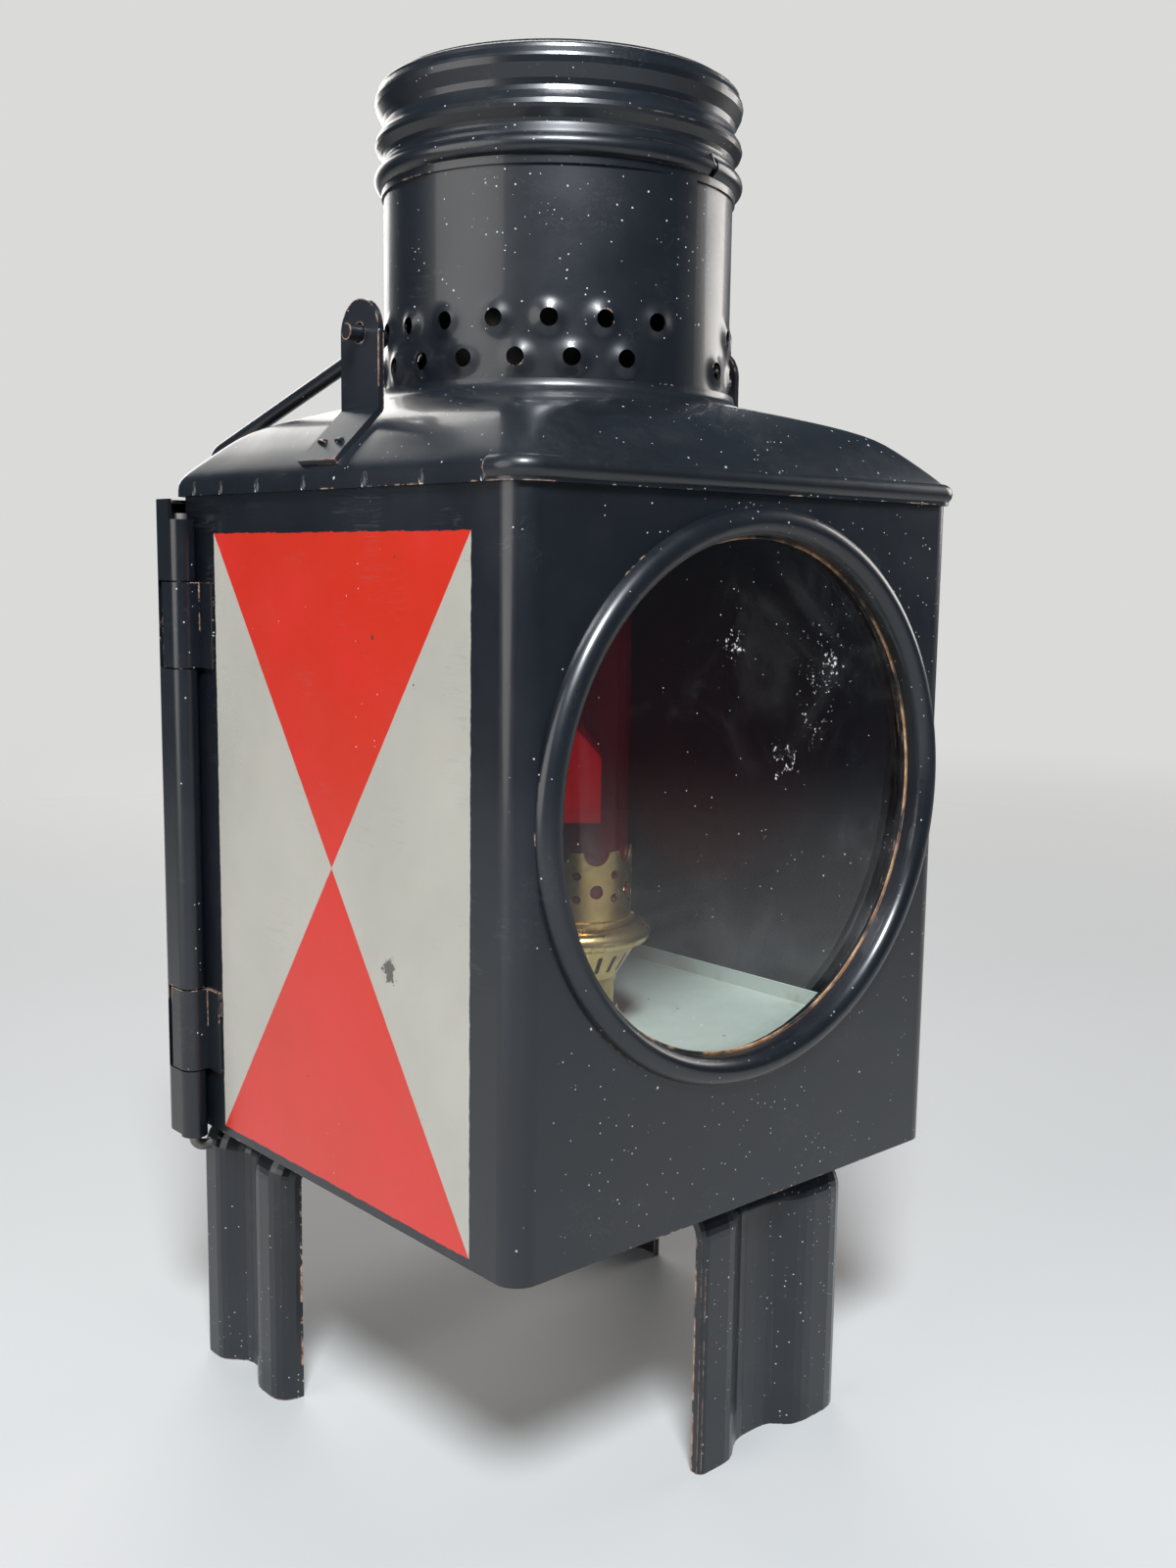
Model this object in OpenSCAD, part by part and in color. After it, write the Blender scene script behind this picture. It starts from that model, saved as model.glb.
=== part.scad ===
// Paraffin side lamp for railway vehicles: a square sheet-metal case on three
// pressed feet, with a round front window, a hinged back door with a second
// window, day signs on both sides, a vented chimney and a wire bail.
// Millimetres, +Z up, the front window faces -Y.

/* [Case] */
// Width of the case across its two sides
body_w = 190; // [175:1:215]
// Depth of the case from the front face to its open back
body_d = 180; // [168:1:205]
// Height of the case walls below the roof skirt
body_h = 222; // [205:1:260]
// Thickness of the case sheet
sheet = 1.2; // [0.8:0.1:1.6]
// Outer radius of the folded front corners
corner_r = 8; // [6:0.5:12]
// Distance of the chimney axis behind the front face
axis_back = 96; // [90:1:102]

/* [Windows] */
// Radius of the round opening in the front and in the door
window_r = 80; // [60:1:82]
// Height of the window centre above the bottom of the case
window_up = 130; // [110:1:134]
// Radius of the pressed bead around each opening
bead_r = 4.3; // [3:0.1:5]
// Thickness of the window glass
glass_t = 3; // [2:0.5:4]

/* [Feet] */
// Height of the feet, from the ground to the case
foot_h = 90; // [75:1:110]
// Thickness of the foot plate
foot_t = 2; // [1.5:0.1:3]
// Depth of the channel pressed into each foot
foot_channel = 7.5; // [5:0.5:10]
// Width of the front foot
front_foot_w = 71; // [56:1:80]
// Width of each side foot
side_foot_w = 52; // [46:1:60]

/* [Roof and chimney] */
// Height of the upright part of the roof skirt
skirt_h = 4; // [3:0.5:10]
// Rise of the roof from the skirt to the chimney
roof_rise = 27; // [22:1:34]
// Outer radius of the chimney tube
chimney_r = 58; // [50:0.5:62]
// Visible height of the chimney tube
chimney_h = 66; // [56:1:90]
// Thickness of the chimney sheet
flue_t = 0.8; // [0.6:0.1:1.2]
// Number of vent holes in each row
vent_n = 20; // [14:1:20]
// Radius of a vent hole
vent_r = 2.9; // [2:0.1:3.2]
// Height of the cap's side above its lower edge
cap_h = 36; // [34:1:46]
// Radius of the inner smoke pipe
pipe_r = 42; // [32:1:45]

/* [Bail] */
// Radius of the bail wire
bail_wire = 2.5; // [2:0.1:3]
// Distance from the pivot to the middle of the grip
bail_reach = 128; // [124:1:140]
// Width of the lug strip
lug_w = 20.4; // [16:0.2:24]
// Thickness of the lug strip
lug_t = 2; // [1.6:0.1:3]

/* [Door hinge] */
// Outer radius of the rolled knuckles
knuckle_r = 4.6; // [4:0.1:5]
// Radius of the hinge rod
rod_r = 2; // [1.5:0.1:2.5]
// Radial running clearance on the hinge rod
rod_gap = 0.05; // [0.03:0.01:0.1]
// Gap between neighbouring knuckles
knuckle_gap = 0.5; // [0.4:0.1:1]

/* [Burner and font] */
// Height of the oil font below its rim
font_h = 38; // [30:1:42]
// Radius of the gallery crown
gallery_r = 18; // [16:0.5:20]
// Length of the lamp chimney glass
ruby_h = 128; // [90:1:135]
// Distance of the burner in front of the chimney axis
burner_front = 13.5; // [0:0.5:16]

/* [Hidden] */
$fn = 64;
eps = 0.01;
fit = 0.3;                                   // gap between parts that only pass each other

half_w = body_w / 2;
front_y = -axis_back;
back_y = body_d - axis_back;
base_z = foot_h;
top_z = base_z + body_h;
window_z = base_z + window_up;
wall_in = half_w - sheet;

// window stack, counted inwards from the face that the glass looks through
throat = 4;                                  // depth of the rolled throat
throat_t = 1.2;
glass_r = window_r + 3.6;
ring_in = window_r + 0.6;
ring_out = glass_r + 3;
ring_t = 1.5;
bead_mid = window_r + bead_r;

// roof, in steps from the skirt to the neck
lip = 1.5;                                   // roof overhang past the case walls
roof_corner = corner_r + lip;
roof_back = back_y + 9.5;
roof_mid_y = (front_y - lip + roof_back) / 2;
roof_half_d = (roof_back - front_y + lip) / 2;
roof_half_w = half_w + lip;
skirt_top = top_z + skirt_h;
neck_z = skirt_top + roof_rise;
neck_flare = 5;
knee_in = 16.7;                              // where the steep edge turns into the flatter slope
knee_share = 0.667;
roof_steps = [                               // [share of the rise, inset, corner radius]
    [0, 0, roof_corner], [0.06, 0.6, roof_corner], [0.12, 2, roof_corner + 0.5],
    [knee_share, knee_in, roof_corner + 3], [0.86, 25.5, roof_corner + 13]];
slope_foot = roof_steps[2];
inner_steps = [
    [0, 0, roof_corner], [knee_share, knee_in, roof_corner + 3]];
knee_x = roof_half_w - knee_in;
knee_z = skirt_top + knee_share * roof_rise;

// chimney and cap
chimney_top = neck_z + chimney_h;
cap_z = chimney_top;
cap_t = 0.7;
cap_gap = 0.05;                              // slip fit of the cap and the roof on the tube
cap_r = chimney_r + cap_t + cap_gap;
tube_top = cap_z + 8;
vent_rows = [10, 21.5];                      // heights of the two rows above the neck
seam_angle = -84;
vent_gap = 40;                               // plain arc at the lap seam
vent_pitch = (360 - vent_gap) / (vent_n - 1);
vent_start = [seam_angle + 14.5, seam_angle + 24.5];
dimple_r = 6;
dimple_h = 1.5;

// bail pivot and lugs
lug_x = half_w - 15.3;                       // outer face of the upright lug
pivot_z = neck_z + 16.7;
bail_hole = bail_wire + 0.6;
bail_x = lug_x - lug_t - 8;                  // centre line of each bail leg
bail_bend = 22;
// the bail comes to rest just above the rounded back hips of the roof
rest_gap = 0.86;                             // measured square to the straight back knee
knee_back = roof_back - knee_in;
knee_drop = pivot_z - knee_z;
bail_rest = atan2(knee_drop, knee_back) - asin((bail_wire + rest_gap) / norm([knee_drop, knee_back]));

// hinge along the back left edge
hinge_x = -(half_w + knuckle_r + 0.35);
hinge_y = back_y - 6;
door_top = top_z - 1.2;
door_bottom = base_z - 2;
door_face = back_y + 6.5;
strap_h = 29;
strap_low = base_z + 22;
strap_high = top_z - 29 - strap_h;
knuckle_top = top_z - 8;
knuckle_low = base_z - 2.8;
door_rim_x = half_w + fit + sheet;

// font and burner
font_front = front_y + sheet + throat + glass_t + ring_t + 2.5;
font_back = back_y - 22;
font_half = half_w - 9;
font_rim = 5.5;
floor_top = base_z + sheet;
font_z = floor_top;
font_top = font_z + font_h;
burner_y = -burner_front;
boss_h = 7;
collar_r = 12.5;
collar_z = font_top + boss_h;
collar_h = 13;
basket_z = collar_z + collar_h;
basket_h = 12;
basket_r = 20.5;
flange_h = 10.5;
flange_r = gallery_r + 6.8;
gallery_z = basket_z + basket_h;
crown_z = gallery_z + flange_h;
crown_h = 23;
tines = 8;
brass_t = 0.8;
wick_r = 5.6;
wick_t = 2;
wheel_r = 2.6;
spindle_r = 1.2;
spindle_y = burner_y + wick_r + wheel_r + 0.2;
spindle_z = collar_z + 6;
knob_x = -46;
knob_r = 9;
ruby_r = gallery_r - brass_t - 0.4;
filler_x = -55;
filler_y = 34;
filler_r = 10;

// the origin is the middle of the whole outline, at ground level
outline_left = -hinge_x + knuckle_r;
spring_out = 4;
outline_right = door_rim_x + spring_out;
outline_front = axis_back + bead_r;
outline_back = bail_reach * cos(bail_rest) + bail_wire;
origin_x = (outline_right - outline_left) / 2;
origin_y = (outline_back - outline_front) / 2;

module place() translate([-origin_x, -origin_y, 0]) children();

// rectangle with four true round corners, centred
module round_rect(w, d, r) {
    square([w - 2 * r, d], center = true);
    square([w, d - 2 * r], center = true);
    for (x = [-1, 1], y = [-1, 1])
        translate([x * (w / 2 - r), y * (d / 2 - r)]) circle(r);
}

module tube(outer, inner, h) {
    difference() {
        cylinder(r = outer, h = h);
        translate([0, 0, -eps]) cylinder(r = inner, h = h + 2 * eps);
    }
}

// flat ring in the XZ plane with its thickness along Y
module upright_ring(outer, inner, y, t, fine = 96)
    translate([0, y, window_z]) rotate([-90, 0, 0])
        difference() {
            cylinder(r = outer, h = t, $fn = fine);
            translate([0, 0, -eps]) cylinder(r = inner, h = t + 2 * eps, $fn = fine);
        }

// bead that stands proud of a window face, out = -1 for the front, 1 for the door
module window_bead(face, out) {
    translate([0, face, window_z]) rotate([-90 * out, 0, 0])
        rotate_extrude($fn = 128)
            translate([bead_mid, 0])
                intersection() {
                    circle(bead_r, $fn = 48);
                    translate([-bead_r, -0.4]) square([2 * bead_r, bead_r + 1]);
                }
    throat_y = out < 0 ? face : face - throat;
    upright_ring(window_r + throat_t, window_r, throat_y, throat, 128);
}

module casing_plan() {
    mid = (front_y + back_y + corner_r) / 2;
    depth = body_d + corner_r;
    difference() {
        translate([0, mid]) round_rect(body_w, depth, corner_r);
        translate([0, mid])
            round_rect(body_w - 2 * sheet, depth - 2 * sheet, corner_r - sheet);
        translate([-body_w, back_y]) square([2 * body_w, body_d]);
    }
}

module casing() color([0.06, 0.07, 0.08]) {
    frame_side = 4;
    header_h = 4;
    difference() {
        translate([0, 0, base_z]) linear_extrude(body_h + skirt_h - 2) casing_plan();
        translate([0, front_y - eps, window_z]) rotate([-90, 0, 0])
            cylinder(r = window_r, h = sheet + 2 * eps, $fn = 128);
    }
    window_bead(front_y, -1);
    for (x = [-1, 1])
        translate([x * (wall_in - frame_side / 2) - frame_side / 2, back_y - sheet, base_z + 6])
            cube([frame_side, sheet, body_h - 6]);
    translate([-wall_in, back_y - sheet, top_z - header_h])
        cube([2 * wall_in, sheet, header_h + skirt_h - 2]);
}

module floor_plate() color([0.08, 0.08, 0.09]) {
    edge = 6;
    mid = (front_y + back_y) / 2;
    depth = body_d - sheet;
    translate([0, mid + sheet / 2, base_z]) {
        linear_extrude(sheet)
            intersection() {
                translate([0, corner_r / 2]) round_rect(2 * wall_in, depth + corner_r, corner_r - sheet);
                square([body_w, depth], center = true);
            }
        for (x = [-1, 1])
            translate([x * (wall_in - sheet / 2) - sheet / 2, -depth / 2 + corner_r, 0])
                cube([sheet, depth - corner_r - 8, edge]);
        translate([-wall_in + corner_r, -depth / 2, 0]) cube([2 * (wall_in - corner_r), sheet, edge]);
    }
}

// one level of the roof as a thin slab, drawn inside by the sheet when inner = 1
module roof_level(s, inner) {
    w = 2 * (roof_half_w - s[1] - inner * sheet);
    d = 2 * (roof_half_d - s[1] - inner * sheet);
    translate([0, roof_mid_y * (1 - s[0]), skirt_top + s[0] * roof_rise - inner * sheet])
        linear_extrude(0.02) round_rect(w, d, s[2] - inner * sheet, $fn = 48);
}

module roof_shell(steps, inner) {
    last = len(steps) - 1;
    for (i = [0 : last - 1]) hull() {
        roof_level(steps[i], inner);
        roof_level(steps[i + 1], inner);
    }
    hull() {
        roof_level(steps[last], inner);
        translate([0, 0, neck_z - 1.8 - inner * sheet])
            cylinder(r = chimney_r + neck_flare, h = 0.02, $fn = 64);
    }
}

module roof() color([0.06, 0.07, 0.08]) {
    bore = (chimney_r + cap_gap) / cos(180 / 96);
    difference() {
        union() {
            translate([0, roof_mid_y, top_z])
                linear_extrude(skirt_h + 0.02)
                    round_rect(2 * roof_half_w, 2 * roof_half_d, roof_corner, $fn = 48);
            roof_shell(roof_steps, 0);
            translate([0, 0, neck_z - 2]) cylinder(r1 = chimney_r + neck_flare, r2 = chimney_r + sheet, h = 3);
        }
        translate([0, roof_mid_y, top_z - eps])
            linear_extrude(skirt_h - sheet + 0.04)
                round_rect(2 * (roof_half_w - sheet), 2 * (roof_half_d - sheet), roof_corner - sheet, $fn = 48);
        roof_shell(inner_steps, 1);
        translate([0, 0, skirt_top - 2]) cylinder(r = bore, h = roof_rise + 10, $fn = 96);
    }
}

module vent_cut(row, k)
    rotate([0, 0, vent_start[row] + k * vent_pitch])
        translate([chimney_r - 4, 0, neck_z + vent_rows[row]])
            rotate([0, 90, 0]) cylinder(r = vent_r, h = 8, $fn = 24);

module chimney_tube() color([0.06, 0.07, 0.08]) {
    seam_w = 7;
    difference() {
        union() {
            translate([0, 0, neck_z - 6]) cylinder(r = chimney_r, h = tube_top - neck_z + 6, $fn = 96);
            for (row = [0, 1], k = [0 : vent_n - 1])
                rotate([0, 0, vent_start[row] + k * vent_pitch])
                    translate([chimney_r - 0.5, 0, neck_z + vent_rows[row]])
                        rotate([0, 90, 0])
                            cylinder(r1 = dimple_r - 1, r2 = vent_r + 0.5, h = dimple_h + 0.5, $fn = 24);
            rotate([0, 0, seam_angle]) translate([chimney_r - 0.5, -seam_w / 2, neck_z + 0.8])
                cube([1, seam_w, chimney_h - 1.5]);
        }
        translate([0, 0, neck_z - 7])
            cylinder(r = chimney_r - flue_t, h = tube_top - neck_z + 9, $fn = 96);
        for (row = [0, 1], k = [0 : vent_n - 1]) vent_cut(row, k);
    }
}

module smoke_pipe() color([0.30, 0.29, 0.28]) {
    collar_low = neck_z - 4;
    pipe_top = cap_z + cap_h - 14;
    rim = chimney_r - flue_t;
    translate([0, 0, collar_low]) tube(pipe_r, pipe_r - flue_t, pipe_top - collar_low);
    translate([0, 0, collar_low])
        difference() {
            cylinder(r = rim, h = 3, $fn = 96);
            translate([0, 0, flue_t]) cylinder(r = rim - flue_t, h = 3, $fn = 96);
            translate([0, 0, -eps]) cylinder(r = pipe_r - 0.3, h = 4);
        }
}

// outside of the cap: [share of its height, radius beyond the tube], joined by soft curves
cap_waves = [
    [0, 0.75], [0.25, 0.75], [0.33, -0.1], [0.46, 2.8], [0.62, 0.1], [0.83, 2.8], [0.93, 1.6], [0.985, -1.2]];
cap_rise = 3.6;
function cap_wave(k, n) =
    let (a = cap_waves[floor(k / n)], b = cap_waves[floor(k / n) + 1], m = (k % n) / n)
    [chimney_r + a[1] + (b[1] - a[1]) * (1 - cos(180 * m)) / 2, cap_h * (a[0] + (b[0] - a[0]) * m)];
function cap_outline(t) =
    let (
        n = 4,
        last = len(cap_waves) - 1,
        edge_r = chimney_r + cap_waves[last][1],
        ball = (edge_r * edge_r + cap_rise * cap_rise) / (2 * cap_rise),
        edge_z = cap_h * cap_waves[last][0])
    concat(
        [for (k = [0 : n * last - 1]) cap_wave(k, n) - [t, 0]],
        [for (k = [8 : -1 : 0])
            let (a = k / 8 * asin(edge_r / ball))
            [max(0, (ball - t) * sin(a) - (k > 0 ? 0.3 * t : 0)), edge_z + cap_rise - ball + (ball - t) * cos(a)]]);

module cap() color([0.06, 0.07, 0.08])
    translate([0, 0, cap_z])
        rotate_extrude($fn = 96)
            difference() {
                polygon(concat(cap_outline(0), [[0, 0]]));
                polygon(concat([[chimney_r + cap_gap, -1]], cap_outline(cap_t), [[0, -1]]));
                translate([0, -1]) square([chimney_r + cap_gap, tube_top - cap_z + 1.3]);
            }

module cap_band() color([0.06, 0.07, 0.08])
    translate([0, 0, cap_z + 5.6])
        rotate([0, 0, seam_angle + 8])
            rotate_extrude(angle = 357, $fn = 96)
                translate([cap_r - 0.9, 0])
                    intersection() {
                        circle(3.3, $fn = 40);
                        translate([0.95, -4]) square([5, 8]);
                    }

// strip that stands up beside the chimney and turns outwards down the roof slope
module lug(side) {
    bend_in = 1;                             // inner radius of the bend
    seat = 0.03;
    tab_end = half_w - 0.6;
    slope = atan2((knee_share - slope_foot[0]) * roof_rise, knee_in - slope_foot[1]);
    centre_x = lug_x + bend_in;
    lift = bend_in + lug_t + seat - (centre_x - knee_x) * sin(slope);
    centre_z = knee_z + 0.02 + lift / cos(slope);
    start_x = centre_x - (bend_in + lug_t) * sin(slope);
    tab_l = (tab_end - start_x) / cos(slope);
    turns = 7;
    function bend_at(k, r) =
        [centre_x - r * cos(k * (90 - slope) / turns), centre_z - r * sin(k * (90 - slope) / turns)];
    run = tab_l * [cos(slope), -sin(slope)];
    mirror([side < 0 ? 1 : 0, 0, 0])
        difference() {
            union() {
                translate([0, lug_w / 2, 0]) rotate([90, 0, 0]) linear_extrude(lug_w)
                    polygon(concat(
                        [[lug_x - lug_t, pivot_z]],
                        [for (k = [0 : turns]) bend_at(k, bend_in + lug_t)],
                        [bend_at(turns, bend_in + lug_t) + run, bend_at(turns, bend_in) + run],
                        [for (k = [turns : -1 : 0]) bend_at(k, bend_in)],
                        [[lug_x, pivot_z]]));
                translate([lug_x - lug_t, 0, pivot_z]) rotate([0, 90, 0]) cylinder(r = lug_w / 2, h = lug_t);
            }
            translate([lug_x - lug_t - 1, 0, pivot_z]) rotate([0, 90, 0])
                cylinder(r = bail_hole, h = lug_t + 2, $fn = 32);
        }
}

module lug_left() color([0.08, 0.09, 0.10]) lug(-1);

module lug_right() color([0.08, 0.09, 0.10]) lug(1);

// the bail is drawn lying level towards the back, then tipped to its rest angle
module bail() color([0.07, 0.08, 0.09])
    translate([0, 0, pivot_z]) rotate([-bail_rest, 0, 0]) {
        hook_r = bail_wire + 2;
        end_x = lug_x + 4.8;
        for (x = [-1, 1]) {
            translate([x * bail_x, hook_r, 0]) rotate([-90, 0, 0])
                cylinder(r = bail_wire, h = bail_reach - hook_r - bail_bend, $fn = 32);
            translate([x * (bail_x + hook_r), hook_r, 0])
                rotate([0, 0, x > 0 ? 180 : 270])
                    rotate_extrude(angle = 90) translate([hook_r, 0]) circle(bail_wire, $fn = 32);
            translate([x > 0 ? bail_x + hook_r : -end_x, 0, 0]) rotate([0, 90, 0])
                cylinder(r = bail_wire, h = end_x - bail_x - hook_r, $fn = 32);
            translate([x * (bail_x - bail_bend), bail_reach - bail_bend, 0])
                rotate([0, 0, x > 0 ? 0 : 90])
                    rotate_extrude(angle = 90) translate([bail_bend, 0]) circle(bail_wire, $fn = 32);
        }
        translate([-(bail_x - bail_bend), bail_reach, 0]) rotate([0, 90, 0])
            cylinder(r = bail_wire, h = 2 * (bail_x - bail_bend), $fn = 32);
    }

front_glass_y = front_y + throat;
front_ring_y = front_glass_y + glass_t;
door_glass_y = door_face - throat - glass_t;
door_ring_y = door_glass_y - ring_t;

module front_glass() color([0.85, 0.9, 0.9, 0.35])
    translate([0, front_glass_y, window_z]) rotate([-90, 0, 0]) cylinder(r = glass_r, h = glass_t, $fn = 128);

module front_glass_ring() color([0.2, 0.2, 0.2])
    upright_ring(ring_out, ring_in, front_ring_y, ring_t);

// four Z shaped tabs from a glass ring to the sheet that carries it
module ring_tabs(ring_face, sheet_face, out) {
    tab_w = 12;
    tab_t = 1.2;
    reach = abs(ring_face - sheet_face);
    low = min(ring_face, sheet_face);
    for (a = [45 : 90 : 315])
        translate([0, 0, window_z]) rotate([0, -a, 0]) translate([ring_out, -0, 0]) {
            translate([-4, out < 0 ? ring_face : ring_face - tab_t, -tab_w / 2]) cube([5.2, tab_t, tab_w]);
            translate([0, low - (out < 0 ? 0 : tab_t), -tab_w / 2]) cube([tab_t, reach + tab_t, tab_w]);
            translate([0, out < 0 ? sheet_face : sheet_face - tab_t, -tab_w / 2]) cube([9, tab_t, tab_w]);
        }
}

module front_ring_tabs() color([0.2, 0.2, 0.2])
    ring_tabs(front_ring_y + ring_t, front_y + sheet, -1);

// outer face of a foot across its width: [share of the width, share of the channel depth]
foot_shape = [
    [0, 0.2], [0.012, 0.05], [0.03, 0], [0.16, 0], [0.2, 0.06], [0.24, 0.24], [0.3, 0.66],
    [0.34, 0.88], [0.39, 0.98], [0.47, 1], [0.54, 0.96], [0.575, 0.85], [0.6, 0.62],
    [0.625, 0.36], [0.655, 0.16], [0.7, 0.04], [0.75, 0], [0.87, 0], [0.92, 0.08],
    [0.96, 0.26], [0.985, 0.52], [1, 0.85]];
foot_bend = 11;                              // outer radius where the foot turns under the floor
foot_flange = 15;

function foot_point(i, w) = [w * (foot_shape[i][0] - 0.5), foot_channel * foot_shape[i][1]];
function foot_tilt(i, w) =
    let (a = foot_point(max(i - 1, 0), w), b = foot_point(min(i + 1, len(foot_shape) - 1), w))
    sqrt(1 + pow((b[1] - a[1]) / (b[0] - a[0]), 2));
// closed loop round the sheet: along the outer face, then back along the inner face
function foot_loop(w) =
    let (n = len(foot_shape))
    concat(
        [for (i = [0 : n - 1]) foot_point(i, w)],
        [for (i = [n - 1 : -1 : 0]) foot_point(i, w) + [0, foot_t * min(foot_tilt(i, w), 1.35)]]);
// a loop point carried round the bend by angle a, or s along the flange
function foot_place(p, a, s) = [
    p[0],
    foot_bend - (foot_bend - p[1]) * cos(a) + s,
    foot_h - foot_bend + (foot_bend - p[1]) * sin(a)];

// pressed strip: upright with a channel, turned inwards under the floor at the top
module foot(w) {
    shape = foot_loop(w);
    m = len(shape);
    turns = 9;
    foot_rings = concat(
        [[for (p = shape) [p[0], p[1], 0]]],
        [for (k = [0 : turns]) [for (p = shape) foot_place(p, 90 * k / turns, 0)]],
        [[for (p = shape) foot_place(p, 90, foot_flange)]]);
    last = len(foot_rings) - 1;
    polyhedron(
        points = [for (ring = foot_rings) for (p = ring) p],
        faces = concat(
            [for (j = [0 : m / 2 - 2]) [j, j + 1, m - 2 - j, m - 1 - j]],
            [for (j = [0 : m / 2 - 2]) [last * m + m - 1 - j, last * m + m - 2 - j, last * m + j + 1, last * m + j]],
            [for (k = [0 : last - 1]) for (j = [0 : m - 1])
                [k * m + j, (k + 1) * m + (j + 1) % m, k * m + (j + 1) % m]],
            [for (k = [0 : last - 1]) for (j = [0 : m - 1])
                [k * m + j, (k + 1) * m + j, (k + 1) * m + (j + 1) % m]]),
        convexity = 6);
}

module foot_front() color([0.07, 0.08, 0.09])
    translate([22.5, front_y + 4.6, 0]) foot(front_foot_w);

module foot_left() color([0.07, 0.08, 0.09])
    translate([-(half_w - 2.6), back_y + 1.6 - side_foot_w / 2, 0])
        mirror([0, 1, 0]) rotate([0, 0, 90]) mirror([0, 1, 0]) foot(side_foot_w);

module foot_right() color([0.07, 0.08, 0.09])
    translate([half_w - 2.6, back_y + 1.6 - side_foot_w / 2, 0]) rotate([0, 0, 90]) foot(side_foot_w);

module strap(z) {
    tail = 6;
    leaf = 9;
    outer = knuckle_r;
    translate([hinge_x, hinge_y, z]) {
        difference() {
            union() {
                cylinder(r = outer, h = strap_h);
                translate([-outer, 0, 0]) cube([sheet, tail, strap_h]);
                translate([0, -outer, 0]) cube([-half_w - hinge_x, sheet, strap_h]);
            }
            translate([0, 0, -eps]) cylinder(r = rod_r, h = strap_h + 2 * eps, $fn = 32);
        }
    }
    translate([-half_w - sheet, hinge_y - knuckle_r - leaf + sheet, z]) cube([sheet, leaf, strap_h]);
}

module hinge_straps() color([0.07, 0.08, 0.09]) {
    strap(strap_low);
    strap(strap_high);
}

module hinge_rod() color([0.10, 0.10, 0.11])
    translate([hinge_x, hinge_y, 0]) {
        elbow = 4;
        tail_z = knuckle_low - 0.6;
        reach = 6;
        translate([0, 0, tail_z]) cylinder(r = rod_r, h = knuckle_top + 2 - tail_z, $fn = 32);
        translate([elbow, 0, tail_z]) rotate([90, 0, 0]) rotate([0, 0, 180])
            rotate_extrude(angle = 90) translate([elbow, 0]) circle(rod_r, $fn = 32);
        translate([elbow, 0, tail_z - elbow]) rotate([0, 90, 0])
            cylinder(r = rod_r, h = reach - elbow, $fn = 32);
    }

// stretches of the door's rolled edge, each from low to high
door_rolls = [
    [knuckle_low, strap_low - knuckle_gap],
    [strap_low + strap_h + knuckle_gap, strap_high - knuckle_gap],
    [strap_high + strap_h + knuckle_gap, knuckle_top]];

module door_plan() {
    r = 5;
    left = hinge_x - knuckle_r;
    w = door_rim_x - left;
    d = door_face - hinge_y + r;
    translate([left + w / 2, door_face - d / 2])
        difference() {
            round_rect(w, d, r);
            round_rect(w - 2 * sheet, d - 2 * sheet, r - sheet);
            translate([-w, -d / 2 - eps]) square([2 * w, r + eps]);
        }
}

module door() color([0.06, 0.07, 0.08]) {
    strap_room = 3.5;
    difference() {
        union() {
            difference() {
                translate([0, 0, door_bottom]) linear_extrude(door_top - door_bottom) door_plan();
                for (z = [strap_low, strap_high])
                    translate([hinge_x - knuckle_r - 1, hinge_y - 1, z - knuckle_gap])
                        cube([knuckle_r + 1 + strap_room, door_face - hinge_y - sheet - 1, strap_h + 2 * knuckle_gap]);
            }
            for (roll = door_rolls)
                translate([hinge_x, hinge_y, roll[0]]) cylinder(r = knuckle_r, h = roll[1] - roll[0]);
            for (z = [door_bottom, door_top - sheet])
                translate([hinge_x + 1, back_y + 2.5, z]) cube([door_rim_x - hinge_x - 2, door_face - back_y - 3, sheet]);
        }
        for (roll = door_rolls)
            translate([hinge_x, hinge_y, roll[0] - eps])
                cylinder(r = rod_r + rod_gap, h = roll[1] - roll[0] + 2 * eps, $fn = 32);
        translate([0, door_face - sheet - 1, window_z]) rotate([-90, 0, 0])
            cylinder(r = window_r, h = sheet + 2, $fn = 128);
    }
    window_bead(door_face, 1);
}

module door_glass() color([0.75, 0.05, 0.08, 0.5])
    translate([0, door_glass_y, window_z]) rotate([-90, 0, 0]) cylinder(r = glass_r, h = glass_t, $fn = 128);

module door_glass_ring() color([0.2, 0.2, 0.2])
    upright_ring(ring_out, ring_in, door_ring_y, ring_t);

module door_ring_tabs() color([0.2, 0.2, 0.2])
    ring_tabs(door_ring_y, door_face - sheet, 1);

module door_knob() color([0.12, 0.12, 0.13])
    translate([half_w - 8, door_face, base_z + 22]) rotate([-90, 0, 0]) {
        cylinder(r = 3, h = 8);
        translate([0, 0, 7]) cylinder(r1 = 5, r2 = 7, h = 3);
        translate([0, 0, 10]) cylinder(r = 7, h = 3);
    }

// leaf spring on the case side that presses on the door's rim
module door_spring() color([0.25, 0.25, 0.26]) {
    spring_h = 30;
    rim_front = hinge_y;
    z = window_z - spring_h / 2;
    translate([half_w, rim_front - 26, z]) cube([sheet, 24, spring_h]);
    translate([half_w + sheet - eps, rim_front - 6, z]) cube([door_rim_x - half_w + 0.3 - sheet + 1, 4, spring_h]);
    translate([door_rim_x + 0.3, rim_front - 6, z]) cube([1, 15, spring_h]);
    translate([door_rim_x + 2.2, rim_front + 9, z]) difference() {
        cylinder(r = 1.8, h = spring_h, $fn = 32);
        translate([0, 0, -eps]) cylinder(r = 0.9, h = spring_h + 2 * eps, $fn = 32);
    }
}

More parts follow.
